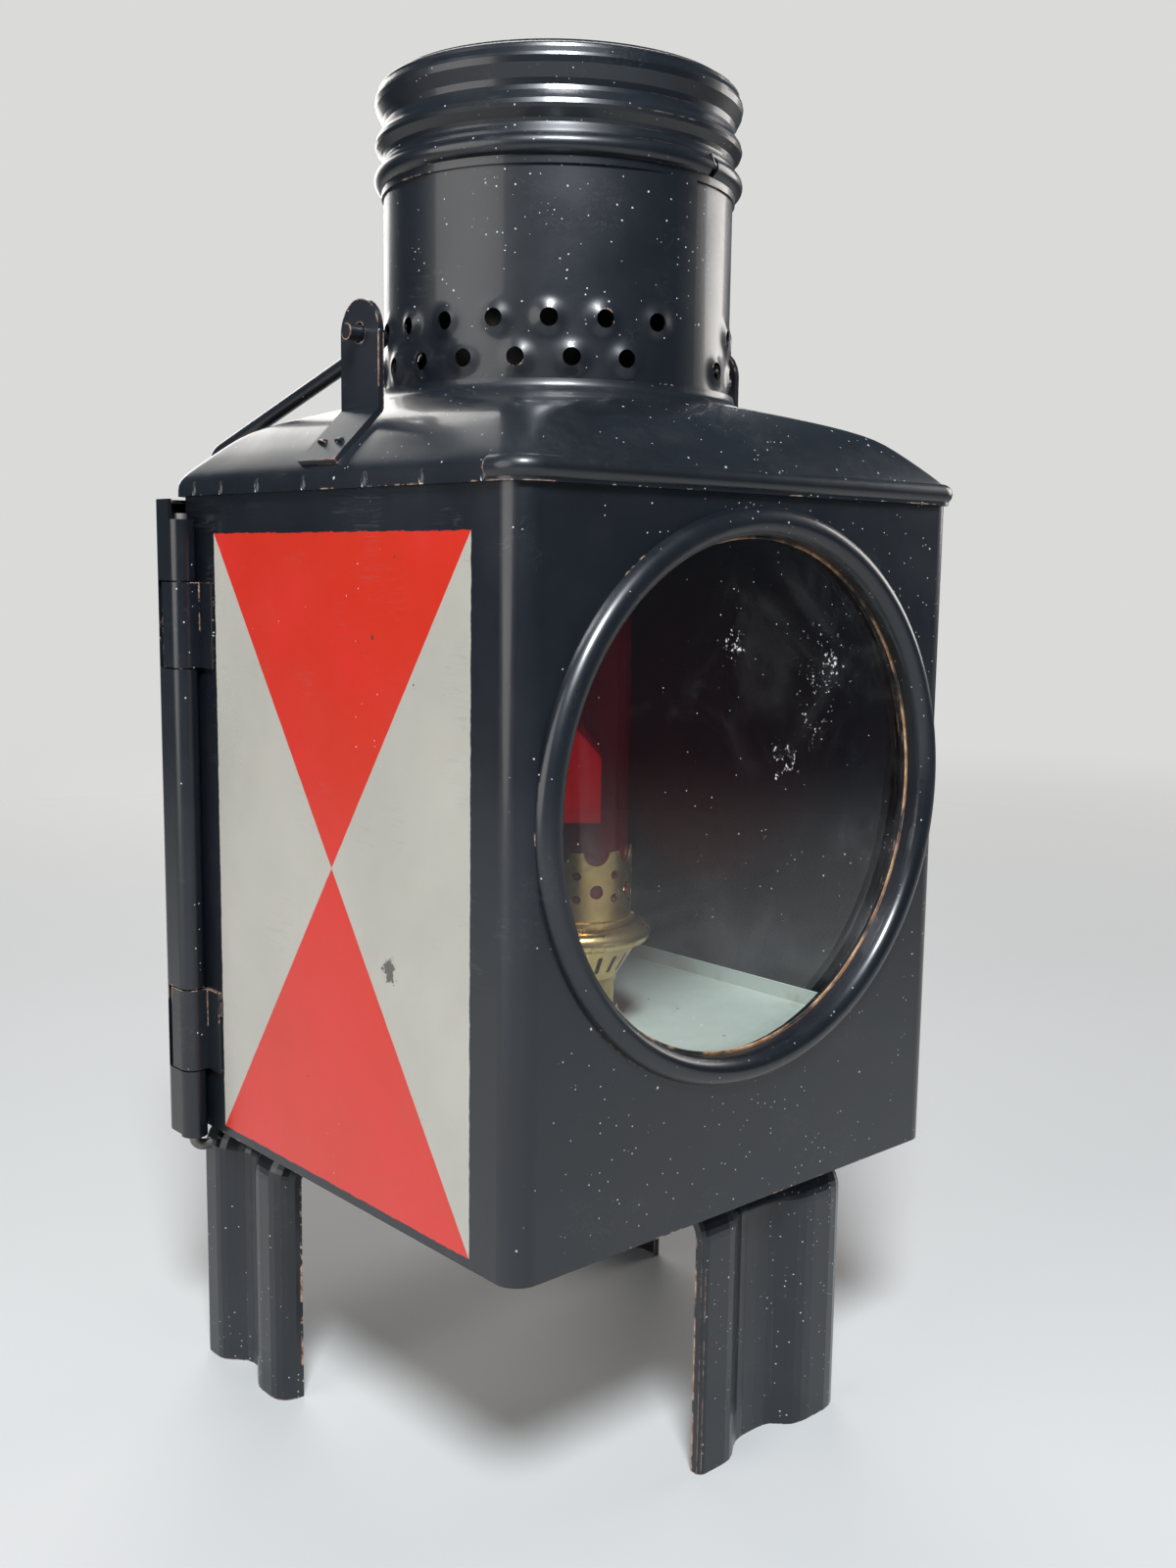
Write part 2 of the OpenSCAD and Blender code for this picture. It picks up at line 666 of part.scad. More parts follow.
module font() color([0.72, 0.75, 0.70]) {
    mid_y = (font_front + font_back) / 2;
    depth = font_back - font_front;
    wall = 1.2;
    corner = 10;
    difference() {
        translate([0, mid_y, font_z]) linear_extrude(font_h + font_rim) round_rect(2 * font_half, depth, corner);
        translate([0, mid_y, font_top])
            linear_extrude(font_rim + 1) round_rect(2 * font_half - 2 * wall, depth - 2 * wall, corner - wall);
        translate([0, mid_y, font_z + wall])
            linear_extrude(font_h - 2 * wall) round_rect(2 * font_half - 2 * wall, depth - 2 * wall, corner - wall);
        translate([0, burner_y, font_top - 2 * wall]) cylinder(r = collar_r - 2.5, h = boss_h + 5);
        translate([filler_x, filler_y, font_top - 2 * wall]) cylinder(r = filler_r - 2, h = 20);
    }
    translate([0, burner_y, font_top - eps]) difference() {
        cylinder(r1 = collar_r + 7, r2 = collar_r + 1.5, h = boss_h);
        translate([0, 0, -eps]) cylinder(r = collar_r - 2.5, h = boss_h + 1);
    }
    translate([filler_x, filler_y, font_top - eps]) tube(filler_r, filler_r - 2, 7);
}

module filler_cap() color([0.72, 0.55, 0.25])
    translate([filler_x, filler_y, font_top + 1]) {
        ribs = 24;
        cap_out = filler_r + 2.4;
        difference() {
            union() {
                cylinder(r = cap_out, h = 8.6);
                for (i = [0 : ribs - 1]) rotate([0, 0, i * 360 / ribs])
                    translate([cap_out, 0, 1]) cylinder(r = 0.7, h = 6.5, $fn = 16);
            }
            translate([0, 0, -eps]) cylinder(r = filler_r + 0.3, h = 6.3 + eps);
        }
    }

module burner_collar() color([0.72, 0.55, 0.25])
    translate([0, burner_y, collar_z]) {
        difference() {
            union() {
                cylinder(r = collar_r, h = collar_h);
                cylinder(r = collar_r + 1.5, h = 2.5);
                translate([0, 0, collar_h - 1.5]) cylinder(r = collar_r + 0.8, h = 1.5);
            }
            translate([0, 0, -eps]) cylinder(r = collar_r - brass_t, h = collar_h + 2 * eps);
            translate([-collar_r - 3, spindle_y - burner_y, spindle_z - collar_z]) rotate([0, 90, 0])
                cylinder(r = spindle_r + 0.05, h = 2 * collar_r + 6, $fn = 32);
        }
    }

module air_basket() color([0.66, 0.50, 0.24])
    translate([0, burner_y, basket_z]) {
        slots = 20;
        difference() {
            cylinder(r1 = collar_r + 0.8, r2 = basket_r, h = basket_h);
            translate([0, 0, brass_t])
                cylinder(r1 = collar_r, r2 = basket_r - brass_t, h = basket_h);
            translate([0, 0, -eps]) cylinder(r = wick_r + 3, h = 2);
            for (i = [0 : slots - 1]) rotate([0, 0, i * 360 / slots])
                translate([collar_r - 2, -0.8, 3]) cube([12, 1.6, 6.5]);
        }
    }

module gallery() color([0.78, 0.60, 0.28])
    translate([0, burner_y, gallery_z]) {
        inner = gallery_r - brass_t;
        valley = 16.5;
        difference() {
            union() {
                rotate_extrude($fn = 96) {
                    translate([inner, 0]) square([brass_t, flange_h + 1]);
                    translate([ruby_r - 2.2, 0]) square([inner - ruby_r + 2.6, brass_t]);
                    translate([inner, 0]) square([flange_r - inner - 2.6, brass_t]);
                    translate([flange_r - 3.4, 3.4]) difference() {
                        circle(3.4, $fn = 32);
                        circle(3.4 - brass_t, $fn = 32);
                        translate([-4, -4]) square([4, 8]);
                    }
                    translate([inner, 6.8 - brass_t]) square([flange_r - inner - 3.4, brass_t]);
                    translate([inner, 8.4]) square([2.4, 1]);
                }
                translate([0, 0, flange_h]) tube(gallery_r, inner, crown_h);
            }
            for (i = [0 : tines - 1]) rotate([0, 0, (i + 0.5) * 360 / tines]) {
                translate([inner - 2, 0, flange_h + crown_h]) rotate([0, 90, 0]) cylinder(r = 4.6, h = 6, $fn = 32);
                translate([inner - 2, -4.6, flange_h + crown_h]) cube([6, 9.2, 4]);
                translate([inner - 2, 0, flange_h + 9.5]) rotate([0, 90, 0]) cylinder(r = 2.4, h = 6, $fn = 24);
            }
            for (i = [0 : tines - 1], z = [7, valley - 1.5]) rotate([0, 0, i * 360 / tines])
                translate([inner - 2, 0, flange_h + z]) rotate([0, 90, 0]) cylinder(r = 1.6, h = 6, $fn = 20);
        }
    }

module wick_tube() color([0.66, 0.50, 0.24])
    translate([0, burner_y, collar_z + 1]) {
        bore = wick_r + 0.2;
        h = crown_z + 10 - collar_z;
        difference() {
            union() {
                tube(bore + brass_t, bore, h);
                translate([0, 0, basket_z - collar_z - 1 - 1.2]) tube(collar_r - brass_t, bore, 1.2);
            }
            translate([-4, 0, spindle_z - collar_z - 1 - 4]) cube([8, 12, 8]);
        }
    }

module wick() color([0.85, 0.82, 0.74])
    translate([0, burner_y, font_top - 25]) tube(wick_r, wick_r - wick_t, crown_z + 11 - font_top + 25);

module wick_spindle() color([0.66, 0.50, 0.24])
    translate([0, spindle_y, spindle_z]) rotate([0, 90, 0]) {
        translate([0, 0, knob_x]) cylinder(r = spindle_r, h = collar_r - 1 - knob_x, $fn = 32);
        for (x = [-2.4, 1.0]) translate([0, 0, x]) cylinder(r = wheel_r, h = 1.4);
    }

module wick_knob() color([0.78, 0.60, 0.28])
    translate([knob_x, spindle_y, spindle_z]) rotate([0, 90, 0]) {
        ribs = 20;
        difference() {
            union() {
                translate([0, 0, -1.5]) cylinder(r = knob_r - 0.6, h = 2.5);
                for (i = [0 : ribs - 1]) rotate([0, 0, i * 360 / ribs])
                    translate([knob_r - 0.8, 0, -1.2]) cylinder(r = 0.8, h = 1.9, $fn = 16);
                translate([0, 0, -2.5]) cylinder(r = 3, h = 5.5);
            }
            translate([0, 0, 0]) cylinder(r = spindle_r, h = 6, $fn = 32);
        }
    }

module lamp_chimney() color([0.65, 0.03, 0.06, 0.5])
    translate([0, burner_y, crown_z - flange_h + 1]) tube(ruby_r, ruby_r - 1.6, ruby_h);

place() casing();
place() floor_plate();
place() roof();
place() chimney_tube();
place() smoke_pipe();
place() cap();
place() cap_band();
place() lug_left();
place() lug_right();
place() bail();
place() front_glass();
place() front_glass_ring();
place() front_ring_tabs();
place() foot_front();
place() foot_left();
place() foot_right();
place() hinge_straps();
place() hinge_rod();
place() door();
place() door_glass();
place() door_glass_ring();
place() door_ring_tabs();
place() door_knob();
place() door_spring();
place() font();
place() filler_cap();
place() burner_collar();
place() air_basket();
place() gallery();
place() wick_tube();
place() wick();
place() wick_spindle();
place() wick_knob();
place() lamp_chimney();
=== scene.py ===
from math import atan2, cos, degrees, hypot, pi, radians, sin

import bpy
from mathutils import Matrix, Vector


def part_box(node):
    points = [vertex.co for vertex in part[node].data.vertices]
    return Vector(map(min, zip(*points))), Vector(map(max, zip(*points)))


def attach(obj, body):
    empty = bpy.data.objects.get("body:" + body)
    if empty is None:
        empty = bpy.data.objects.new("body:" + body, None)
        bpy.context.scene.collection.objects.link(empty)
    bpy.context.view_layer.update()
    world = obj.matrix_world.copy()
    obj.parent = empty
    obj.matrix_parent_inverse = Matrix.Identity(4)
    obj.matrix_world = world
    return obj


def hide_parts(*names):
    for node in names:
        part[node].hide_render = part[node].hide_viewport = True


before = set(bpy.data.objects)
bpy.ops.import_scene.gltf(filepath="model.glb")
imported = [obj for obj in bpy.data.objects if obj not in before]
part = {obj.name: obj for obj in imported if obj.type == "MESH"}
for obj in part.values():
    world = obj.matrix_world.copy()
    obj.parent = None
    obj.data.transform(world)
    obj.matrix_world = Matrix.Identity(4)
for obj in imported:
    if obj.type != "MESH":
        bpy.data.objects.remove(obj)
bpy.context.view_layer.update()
scene = bpy.context.scene


# ---------------------------------------------------------------- camera
def stand_camera():
    yaw, pitch, roll = radians(42.04), radians(7.96), radians(0.78)
    look = Vector((sin(yaw) * cos(pitch), cos(yaw) * cos(pitch), -sin(pitch)))
    level = Vector((cos(yaw), -sin(yaw), 0))
    upright = level.cross(look)
    side = cos(roll) * level + sin(roll) * upright
    top = -sin(roll) * level + cos(roll) * upright
    lens = bpy.data.cameras.new("camera")
    lens.lens = 35.66
    lens.sensor_width = 36
    camera = bpy.data.objects.new("camera", lens)
    scene.collection.objects.link(camera)
    turn = Matrix((side, top, -look)).transposed()
    camera.matrix_world = Matrix.Translation((-0.3514, -0.4232, 0.2900)) @ turn.to_4x4()
    scene.camera = camera


stand_camera()


# ---------------------------------------------------------------- shader helpers
class Sheet:
    """Nodes of one material or group, written as short calls."""

    def __init__(self, tree):
        self.tree = tree

    def node(self, kind, **settings):
        n = self.tree.nodes.new(kind)
        for key, value in settings.items():
            setattr(n, key, value)
        return n

    def wire(self, value, socket):
        if isinstance(value, bpy.types.NodeSocket):
            self.tree.links.new(value, socket)
        elif value is not None:
            socket.default_value = value

    def maths(self, operation, a, b=None, c=None, clamp=False):
        n = self.node("ShaderNodeMath", operation=operation, use_clamp=clamp)
        for socket, value in zip(n.inputs, (a, b, c)):
            self.wire(value, socket)
        return n.outputs[0]

    def vector(self, operation, a, b=None, scale=None):
        n = self.node("ShaderNodeVectorMath", operation=operation)
        self.wire(a, n.inputs[0])
        if b is not None:
            self.wire(b, n.inputs[1])
        if scale is not None:
            self.wire(scale, n.inputs["Scale"])
        return n.outputs["Value"] if operation in ("DOT_PRODUCT", "LENGTH", "DISTANCE") else n.outputs[0]

    def step(self, value, low, high, out_low=0.0, out_high=1.0):
        n = self.node("ShaderNodeMapRange", interpolation_type="SMOOTHSTEP")
        for name, v in (("Value", value), ("From Min", low), ("From Max", high),
                        ("To Min", out_low), ("To Max", out_high)):
            self.wire(v, n.inputs[name])
        return n.outputs[0]

    def noise(self, where, scale, detail=3.0, rough=0.55, twist=0.0):
        n = self.node("ShaderNodeTexNoise")
        for name, v in (("Vector", where), ("Scale", scale), ("Detail", detail),
                        ("Roughness", rough), ("Distortion", twist)):
            self.wire(v, n.inputs[name])
        return n.outputs[0]

    def cells(self, where, scale, feature="F1", jitter=1.0):
        n = self.node("ShaderNodeTexVoronoi", feature=feature)
        for name, v in (("Vector", where), ("Scale", scale), ("Randomness", jitter)):
            self.wire(v, n.inputs[name])
        return n.outputs

    def blend(self, share, a, b, kind="MIX"):
        n = self.node("ShaderNodeMix", data_type="RGBA", blend_type=kind)
        for socket, v in ((n.inputs[0], share), (n.inputs[6], a), (n.inputs[7], b)):
            if isinstance(v, tuple) and len(v) == 3:
                v = (*v, 1.0)
            self.wire(v, socket)
        return n.outputs[2]

    def split(self, where):
        n = self.node("ShaderNodeSeparateXYZ")
        self.wire(where, n.inputs[0])
        return n.outputs[0], n.outputs[1], n.outputs[2]

    def join(self, x, y, z):
        n = self.node("ShaderNodeCombineXYZ")
        for socket, v in zip(n.inputs, (x, y, z)):
            self.wire(v, socket)
        return n.outputs[0]

    def place(self):
        return self.node("ShaderNodeTexCoord").outputs["Object"]

    def facing(self):
        return self.node("ShaderNodeNewGeometry").outputs["Normal"]

    def use(self, group, **values):
        n = self.node("ShaderNodeGroup", node_tree=group)
        for key, v in values.items():
            self.wire(v, n.inputs[key.replace("_", " ")])
        return n.outputs

    def bump(self, height, strength, distance, normal=None):
        n = self.node("ShaderNodeBump")
        for name, v in (("Strength", strength), ("Distance", distance), ("Height", height), ("Normal", normal)):
            self.wire(v, n.inputs[name])
        return n.outputs[0]


def new_group(name, takes, gives):
    group = bpy.data.node_groups.new(name, "ShaderNodeTree")
    kinds = {"v": "NodeSocketVector", "f": "NodeSocketFloat", "c": "NodeSocketColor"}
    for label, kind, value in takes:
        socket = group.interface.new_socket(name=label, in_out="INPUT", socket_type=kinds[kind])
        if value is not None:
            socket.default_value = value
    for label, kind in gives:
        group.interface.new_socket(name=label, in_out="OUTPUT", socket_type=kinds[kind])
    s = Sheet(group)
    return group, s, s.node("NodeGroupInput").outputs, s.node("NodeGroupOutput").inputs


# ---------------------------------------------------------------- shared effects
def make_specks():
    """Small pale spots of dust and stray paint, thicker in some places than in others."""
    group, s, i, o = new_group("specks", [
        ("Where", "v", None), ("Scale", "f", 300.0), ("Amount", "f", 0.1), ("Size", "f", 0.2),
        ("Drift", "f", 12.0)], [("Mask", "f")])
    cell = s.cells(i["Where"], i["Scale"])
    pick = s.split(cell["Color"])[0]
    crowd = s.step(s.noise(i["Where"], i["Drift"], 2.0), 0.35, 0.75, 0.15, 2.0)
    chosen = s.maths("LESS_THAN", pick, s.maths("MULTIPLY", i["Amount"], crowd))
    reach = s.maths("MULTIPLY", i["Size"], s.maths("ADD", s.split(cell["Color"])[1], 0.35))
    ragged = s.maths("ADD", cell["Distance"], s.maths("MULTIPLY", s.maths(
        "SUBTRACT", s.noise(i["Where"], s.maths("MULTIPLY", i["Scale"], 3.0), 2.0), 0.5), 0.25))
    spot = s.step(ragged, reach, s.maths("MULTIPLY", reach, 0.6))
    s.wire(s.maths("MULTIPLY", spot, chosen, clamp=True), o["Mask"])
    return group


def make_edges():
    """Where two faces meet at an outer corner, broken up so that it reads as worn paint."""
    group, s, i, o = new_group("worn_edges", [
        ("Where", "v", None), ("Width", "f", 0.0012), ("Amount", "f", 0.5), ("Scale", "f", 160.0)],
        [("Mask", "f"), ("Line", "f")])
    rounded = s.node("ShaderNodeBevel", samples=6)
    s.wire(i["Width"], rounded.inputs["Radius"])
    turn = s.vector("DOT_PRODUCT", rounded.outputs[0], s.facing())
    line = s.step(turn, 0.985, 0.86)
    broken = s.noise(i["Where"], i["Scale"], 5.0, 0.65)
    patchy = s.step(s.noise(i["Where"], s.maths("MULTIPLY", i["Scale"], 0.17), 2.0), 0.40, 0.68, -0.16, 0.10)
    limit = s.maths("SUBTRACT", 0.95, s.maths("MULTIPLY", i["Amount"], 0.5))
    level = s.maths("ADD", s.maths("ADD", broken, patchy), s.maths("MULTIPLY", line, 0.22))
    chip = s.step(level, limit, s.maths("ADD", limit, 0.04))
    s.wire(s.maths("MULTIPLY", chip, s.step(line, 0.15, 0.6)), o["Mask"])
    s.wire(line, o["Line"])
    return group


def make_dust():
    """A thin pale film, thickest on what faces up."""
    group, s, i, o = new_group("dust_film", [
        ("Where", "v", None), ("Amount", "f", 0.3), ("Scale", "f", 40.0)], [("Mask", "f")])
    up = s.step(s.split(s.facing())[2], 0.05, 0.95, 0.25, 1.0)
    patch = s.step(s.noise(i["Where"], i["Scale"], 6.0, 0.62, 0.4), 0.38, 0.72)
    fine = s.step(s.noise(i["Where"], s.maths("MULTIPLY", i["Scale"], 14.0), 3.0, 0.7), 0.3, 0.75, 0.4, 1.0)
    mask = s.maths("MULTIPLY", s.maths("MULTIPLY", up, patch), fine)
    s.wire(s.maths("MULTIPLY", mask, i["Amount"], clamp=True), o["Mask"])
    return group


def make_scratches():
    """Fine short scratches in two directions."""
    group, s, i, o = new_group("fine_scratches", [
        ("Where", "v", None), ("Scale", "f", 60.0), ("Amount", "f", 0.3)], [("Mask", "f")])
    total = None
    for turn in ((0.3, 0.9, 0.2), (1.2, -0.4, 0.8)):
        n = s.node("ShaderNodeMapping")
        n.inputs["Rotation"].default_value = turn
        n.inputs["Scale"].default_value = (1.0, 0.06, 1.0)
        s.wire(i["Where"], n.inputs["Vector"])
        lines = s.noise(n.outputs[0], s.maths("MULTIPLY", i["Scale"], 8.0), 2.0, 0.5, 0.3)
        thin = s.step(s.maths("ABSOLUTE", s.maths("SUBTRACT", lines, 0.5)), 0.012, 0.0)
        some = s.step(s.noise(i["Where"], i["Scale"], 2.0), 0.56, 0.66)
        here = s.maths("MULTIPLY", thin, some)
        total = here if total is None else s.maths("MAXIMUM", total, here)
    s.wire(s.maths("MULTIPLY", total, i["Amount"], clamp=True), o["Mask"])
    return group


def make_peel():
    """Height of brushed and sprayed paint: long soft waves, fine orange peel and shallow knocks."""
    group, s, i, o = new_group("paint_skin", [
        ("Where", "v", None), ("Waves", "f", 0.5), ("Peel", "f", 0.3), ("Knocks", "f", 0.3)], [("Height", "f")])
    waves = s.noise(i["Where"], 22.0, 2.0, 0.5)
    peel = s.noise(i["Where"], 900.0, 2.0, 0.5)
    knock = s.step(s.cells(i["Where"], 45.0)["Distance"], 0.16, 0.02)
    some = s.step(s.noise(i["Where"], 31.0, 1.0), 0.56, 0.62)
    height = s.maths("MULTIPLY", waves, i["Waves"])
    height = s.maths("ADD", height, s.maths("MULTIPLY", peel, s.maths("MULTIPLY", i["Peel"], 0.02)))
    height = s.maths("SUBTRACT", height, s.maths(
        "MULTIPLY", s.maths("MULTIPLY", knock, some), s.maths("MULTIPLY", i["Knocks"], 0.15)))
    s.wire(height, o["Height"])
    return group


SPECKS = make_specks()
EDGES = make_edges()
DUST = make_dust()
SCRATCHES = make_scratches()
SKIN = make_peel()


# ---------------------------------------------------------------- finishes
def new_finish(name, **fixed):
    finish = bpy.data.materials.new(name)
    finish.use_nodes = True
    finish.node_tree.nodes.clear()
    s = Sheet(finish.node_tree)
    shader = s.node("ShaderNodeBsdfPrincipled")
    out = s.node("ShaderNodeOutputMaterial")
    finish.node_tree.links.new(shader.outputs[0], out.inputs[0])
    for key, value in fixed.items():
        shader.inputs[key.replace("_", " ")].default_value = value
    return finish, s, shader.inputs


def black_enamel(name, chips=0.35, dust=0.20, specks=0.15, shine=0.27, grain=0.5, tint=(0.0034, 0.0047, 0.0070),
                 extra=None, rim=None):
    """Black enamel over rusting sheet. extra returns a colour and a mask painted on top of the black; rim returns a
    mask of more rust.
    """
    finish, s, shader = new_finish(name, Coat_Roughness=0.10)
    where = s.place()
    tone = s.noise(where, 9.0, 4.0, 0.6)
    colour = s.blend(s.step(tone, 0.3, 0.7), tint, tuple(c * 1.7 for c in tint))
    if extra is not None:
        over, share = extra(s, where)
        colour = s.blend(share, colour, over)
    film = s.use(DUST, Where=where, Amount=dust, Scale=30.0)["Mask"]
    fine = s.use(SPECKS, Where=where, Scale=620.0, Amount=specks, Size=0.17)["Mask"]
    middling = s.use(SPECKS, Where=where, Scale=260.0, Amount=specks * 0.35, Size=0.10)["Mask"]
    large = s.use(SPECKS, Where=where, Scale=95.0, Amount=specks * 0.22, Size=0.055)["Mask"]
    spots = s.maths("MAXIMUM", s.maths("MAXIMUM", fine, middling), large)
    lines = s.use(SCRATCHES, Where=where, Scale=40.0, Amount=0.16)["Mask"]
    worn = s.use(EDGES, Where=where, Width=0.0010, Amount=chips, Scale=210.0)
    colour = s.blend(s.maths("MULTIPLY", film, 0.35), colour, (0.13, 0.135, 0.14))
    colour = s.blend(lines, colour, (0.10, 0.105, 0.11))
    rust = s.blend(s.step(s.noise(where, 420.0, 4.0, 0.7), 0.35, 0.65), (0.16, 0.060, 0.030), (0.36, 0.25, 0.19))
    bare = worn["Mask"]
    if rim is not None:
        bare = s.maths("MAXIMUM", bare, rim(s, where))
    colour = s.blend(bare, colour, rust)
    colour = s.blend(s.maths("MULTIPLY", spots, 0.75), colour, (0.52, 0.54, 0.55))
    s.wire(colour, shader["Base Color"])
    gloss = s.step(s.noise(where, 17.0, 5.0, 0.6, 0.3), 0.3, 0.75, shine, shine + 0.14)
    gloss = s.maths("ADD", gloss, s.maths("MULTIPLY", film, 0.35))
    gloss = s.maths("MAXIMUM", gloss, s.maths("MULTIPLY", s.maths("MAXIMUM", bare, spots), 0.85))
    s.wire(s.maths("MINIMUM", gloss, 0.95), shader["Roughness"])
    cover = s.maths("MAXIMUM", bare, s.maths("MAXIMUM", spots, film))
    s.wire(s.maths("MULTIPLY", s.maths("SUBTRACT", 1.0, cover, clamp=True), 0.30), shader["Coat Weight"])
    height = s.use(SKIN, Where=where, Waves=0.30, Peel=grain, Knocks=0.25)["Height"]
    height = s.maths("SUBTRACT", height, s.maths("MULTIPLY", bare, 0.10))
    height = s.maths("ADD", height, s.maths("MULTIPLY", spots, 0.05))
    s.wire(s.bump(height, 0.35, 0.002), shader["Normal"])
    return finish


def window_rust(s, where):
    """Bare rusty metal along the inner edge of the window's rolled bead."""
    x, y, z = s.split(where)
    reach = s.vector("LENGTH", s.join(s.maths("SUBTRACT", x, case_x), 0.0, s.maths("SUBTRACT", z, window_z)))
    wander = s.maths("MULTIPLY", s.maths("SUBTRACT", s.noise(where, 130.0, 4.0, 0.65), 0.5), 0.0022)
    near = s.step(s.maths("ADD", reach, wander), bead_inner + 0.0008, bead_inner + 0.0002)
    patchy = s.step(s.noise(where, 24.0, 3.0), 0.36, 0.52)
    depth = s.maths("MULTIPLY", s.maths("LESS_THAN", y, glass_low.y + 0.001),
                    s.maths("GREATER_THAN", y, glass_low.y - 0.0008))
    return s.maths("MULTIPLY", s.maths("MULTIPLY", near, patchy), depth)


def day_sign(s, where):
    """The red and cream sign on each side: two red triangles that meet point to point on cream."""
    x, y, z = s.split(where)
    side = s.maths("GREATER_THAN", s.maths("ABSOLUTE", s.maths("SUBTRACT", x, case_x)), case_half - 0.0004)
    v = s.maths("SUBTRACT", z, sign_z)
    u = s.maths("SUBTRACT", y, sign_y)
    ragged = s.maths("MULTIPLY", s.maths("SUBTRACT", s.noise(where, 220.0, 3.0, 0.6), 0.5), 0.0012)
    across = s.maths("ADD", s.maths("ABSOLUTE", u), ragged)
    down = s.maths("ADD", s.maths("ABSOLUTE", v), ragged)
    in_u = s.step(across, sign_half_u + 0.0002, sign_half_u - 0.0002)
    in_v = s.step(down, sign_half_v + 0.0002, sign_half_v - 0.0002)
    slope = s.maths("SUBTRACT", s.maths("MULTIPLY", down, sign_half_u / sign_half_v), across)
    red = s.step(slope, -0.0002, 0.0002)
    tone = s.noise(where, 14.0, 4.0, 0.6)
    reds = s.blend(s.step(tone, 0.3, 0.7), (0.50, 0.017, 0.010), (0.45, 0.018, 0.004))
    creams = s.blend(s.step(tone, 0.3, 0.7), (0.37, 0.35, 0.305), (0.325, 0.31, 0.27))
    grime = s.step(s.noise(where, 60.0, 6.0, 0.7, 0.6), 0.52, 0.8)
    creams = s.blend(s.maths("MULTIPLY", grime, 0.35), creams, (0.30, 0.27, 0.22))
    colour = s.blend(red, creams, reds)
    flaw = s.use(SPECKS, Where=where, Scale=150.0, Amount=0.030, Size=0.09)["Mask"]
    flaked = s.maths("SUBTRACT", s.noise(where, 320.0, 4.0, 0.7), s.maths("MULTIPLY", s.vector(
        "DISTANCE", s.join(0.0, y, z), (0.0, sign_y - 0.031, sign_z - 0.026)), 90.0))
    flaw = s.maths("MAXIMUM", flaw, s.step(flaked, 0.16, 0.24))
    colour = s.blend(s.maths("MULTIPLY", flaw, 0.85), colour, (0.035, 0.028, 0.022))
    return colour, s.maths("MULTIPLY", side, s.maths("MULTIPLY", in_u, in_v))


def font_enamel():
    finish, s, shader = new_finish("font_enamel")
    where = s.place()
    tone = s.noise(where, 18.0, 5.0, 0.6)
    colour = s.blend(s.step(tone, 0.3, 0.7), (0.40, 0.43, 0.39), (0.33, 0.36, 0.33))
    stain = s.step(s.noise(where, 45.0, 6.0, 0.65, 0.8), 0.55, 0.72)
    colour = s.blend(s.maths("MULTIPLY", stain, 0.35), colour, (0.20, 0.17, 0.11))
    crumbs = s.use(SPECKS, Where=where, Scale=260.0, Amount=0.06, Size=0.2)["Mask"]
    colour = s.blend(s.maths("MULTIPLY", crumbs, 0.8), colour, (0.06, 0.045, 0.03))
    worn = s.use(EDGES, Where=where, Width=0.001, Amount=0.3, Scale=150.0)
    colour = s.blend(worn["Mask"], colour, (0.16, 0.09, 0.05))
    s.wire(colour, shader["Base Color"])
    s.wire(s.step(tone, 0.3, 0.7, 0.38, 0.6), shader["Roughness"])
    height = s.use(SKIN, Where=where, Waves=0.7, Peel=0.8, Knocks=0.3)["Height"]
    s.wire(s.bump(height, 0.3, 0.002), shader["Normal"])
    return finish


def old_brass(name="old_brass", dark=0.35):
    finish, s, shader = new_finish(name, Metallic=1.0)
    where = s.place()
    tone = s.noise(where, 60.0, 5.0, 0.65, 0.4)
    colour = s.blend(s.step(tone, 0.35, 0.7), (0.62, 0.43, 0.17), (0.50, 0.33, 0.13))
    tarnish = s.step(s.noise(where, 130.0, 6.0, 0.7, 0.6), 0.5, 0.72)
    colour = s.blend(s.maths("MULTIPLY", tarnish, dark), colour, (0.17, 0.10, 0.045))
    lines = s.use(SCRATCHES, Where=where, Scale=160.0, Amount=0.5)["Mask"]
    colour = s.blend(lines, colour, (0.75, 0.58, 0.30))
    film = s.use(DUST, Where=where, Amount=0.45, Scale=60.0)["Mask"]
    colour = s.blend(film, colour, (0.42, 0.38, 0.30))
    s.wire(colour, shader["Base Color"])
    gloss = s.step(tone, 0.3, 0.75, 0.24, 0.42)
    s.wire(s.maths("ADD", gloss, s.maths("MULTIPLY", film, 0.4), clamp=True), shader["Roughness"])
    height = s.maths("ADD", s.maths("MULTIPLY", tone, 0.4), s.maths("MULTIPLY", s.noise(where, 700.0, 2.0), 0.08))
    s.wire(s.bump(height, 0.2, 0.001), shader["Normal"])
    return finish


def dull_steel(name, tint, rust=0.4):
    finish, s, shader = new_finish(name, Metallic=0.85)
    where = s.place()
    tone = s.noise(where, 90.0, 5.0, 0.65)
    colour = s.blend(s.step(tone, 0.3, 0.7), tint, tuple(c * 0.6 for c in tint))
    rusty = s.step(s.noise(where, 140.0, 6.0, 0.7, 0.5), 0.52, 0.68)
    colour = s.blend(s.maths("MULTIPLY", rusty, rust), colour, (0.20, 0.085, 0.04))
    film = s.use(DUST, Where=where, Amount=0.4, Scale=60.0)["Mask"]
    colour = s.blend(film, colour, (0.3, 0.29, 0.27))
    s.wire(colour, shader["Base Color"])
    s.wire(s.step(tone, 0.3, 0.7, 0.35, 0.62), shader["Roughness"])
    s.wire(s.maths("SUBTRACT", 0.85, s.maths("MULTIPLY", rusty, rust * 0.7), clamp=True), shader["Metallic"])
    s.wire(s.bump(s.noise(where, 500.0, 4.0, 0.6), 0.2, 0.0006), shader["Normal"])
    return finish


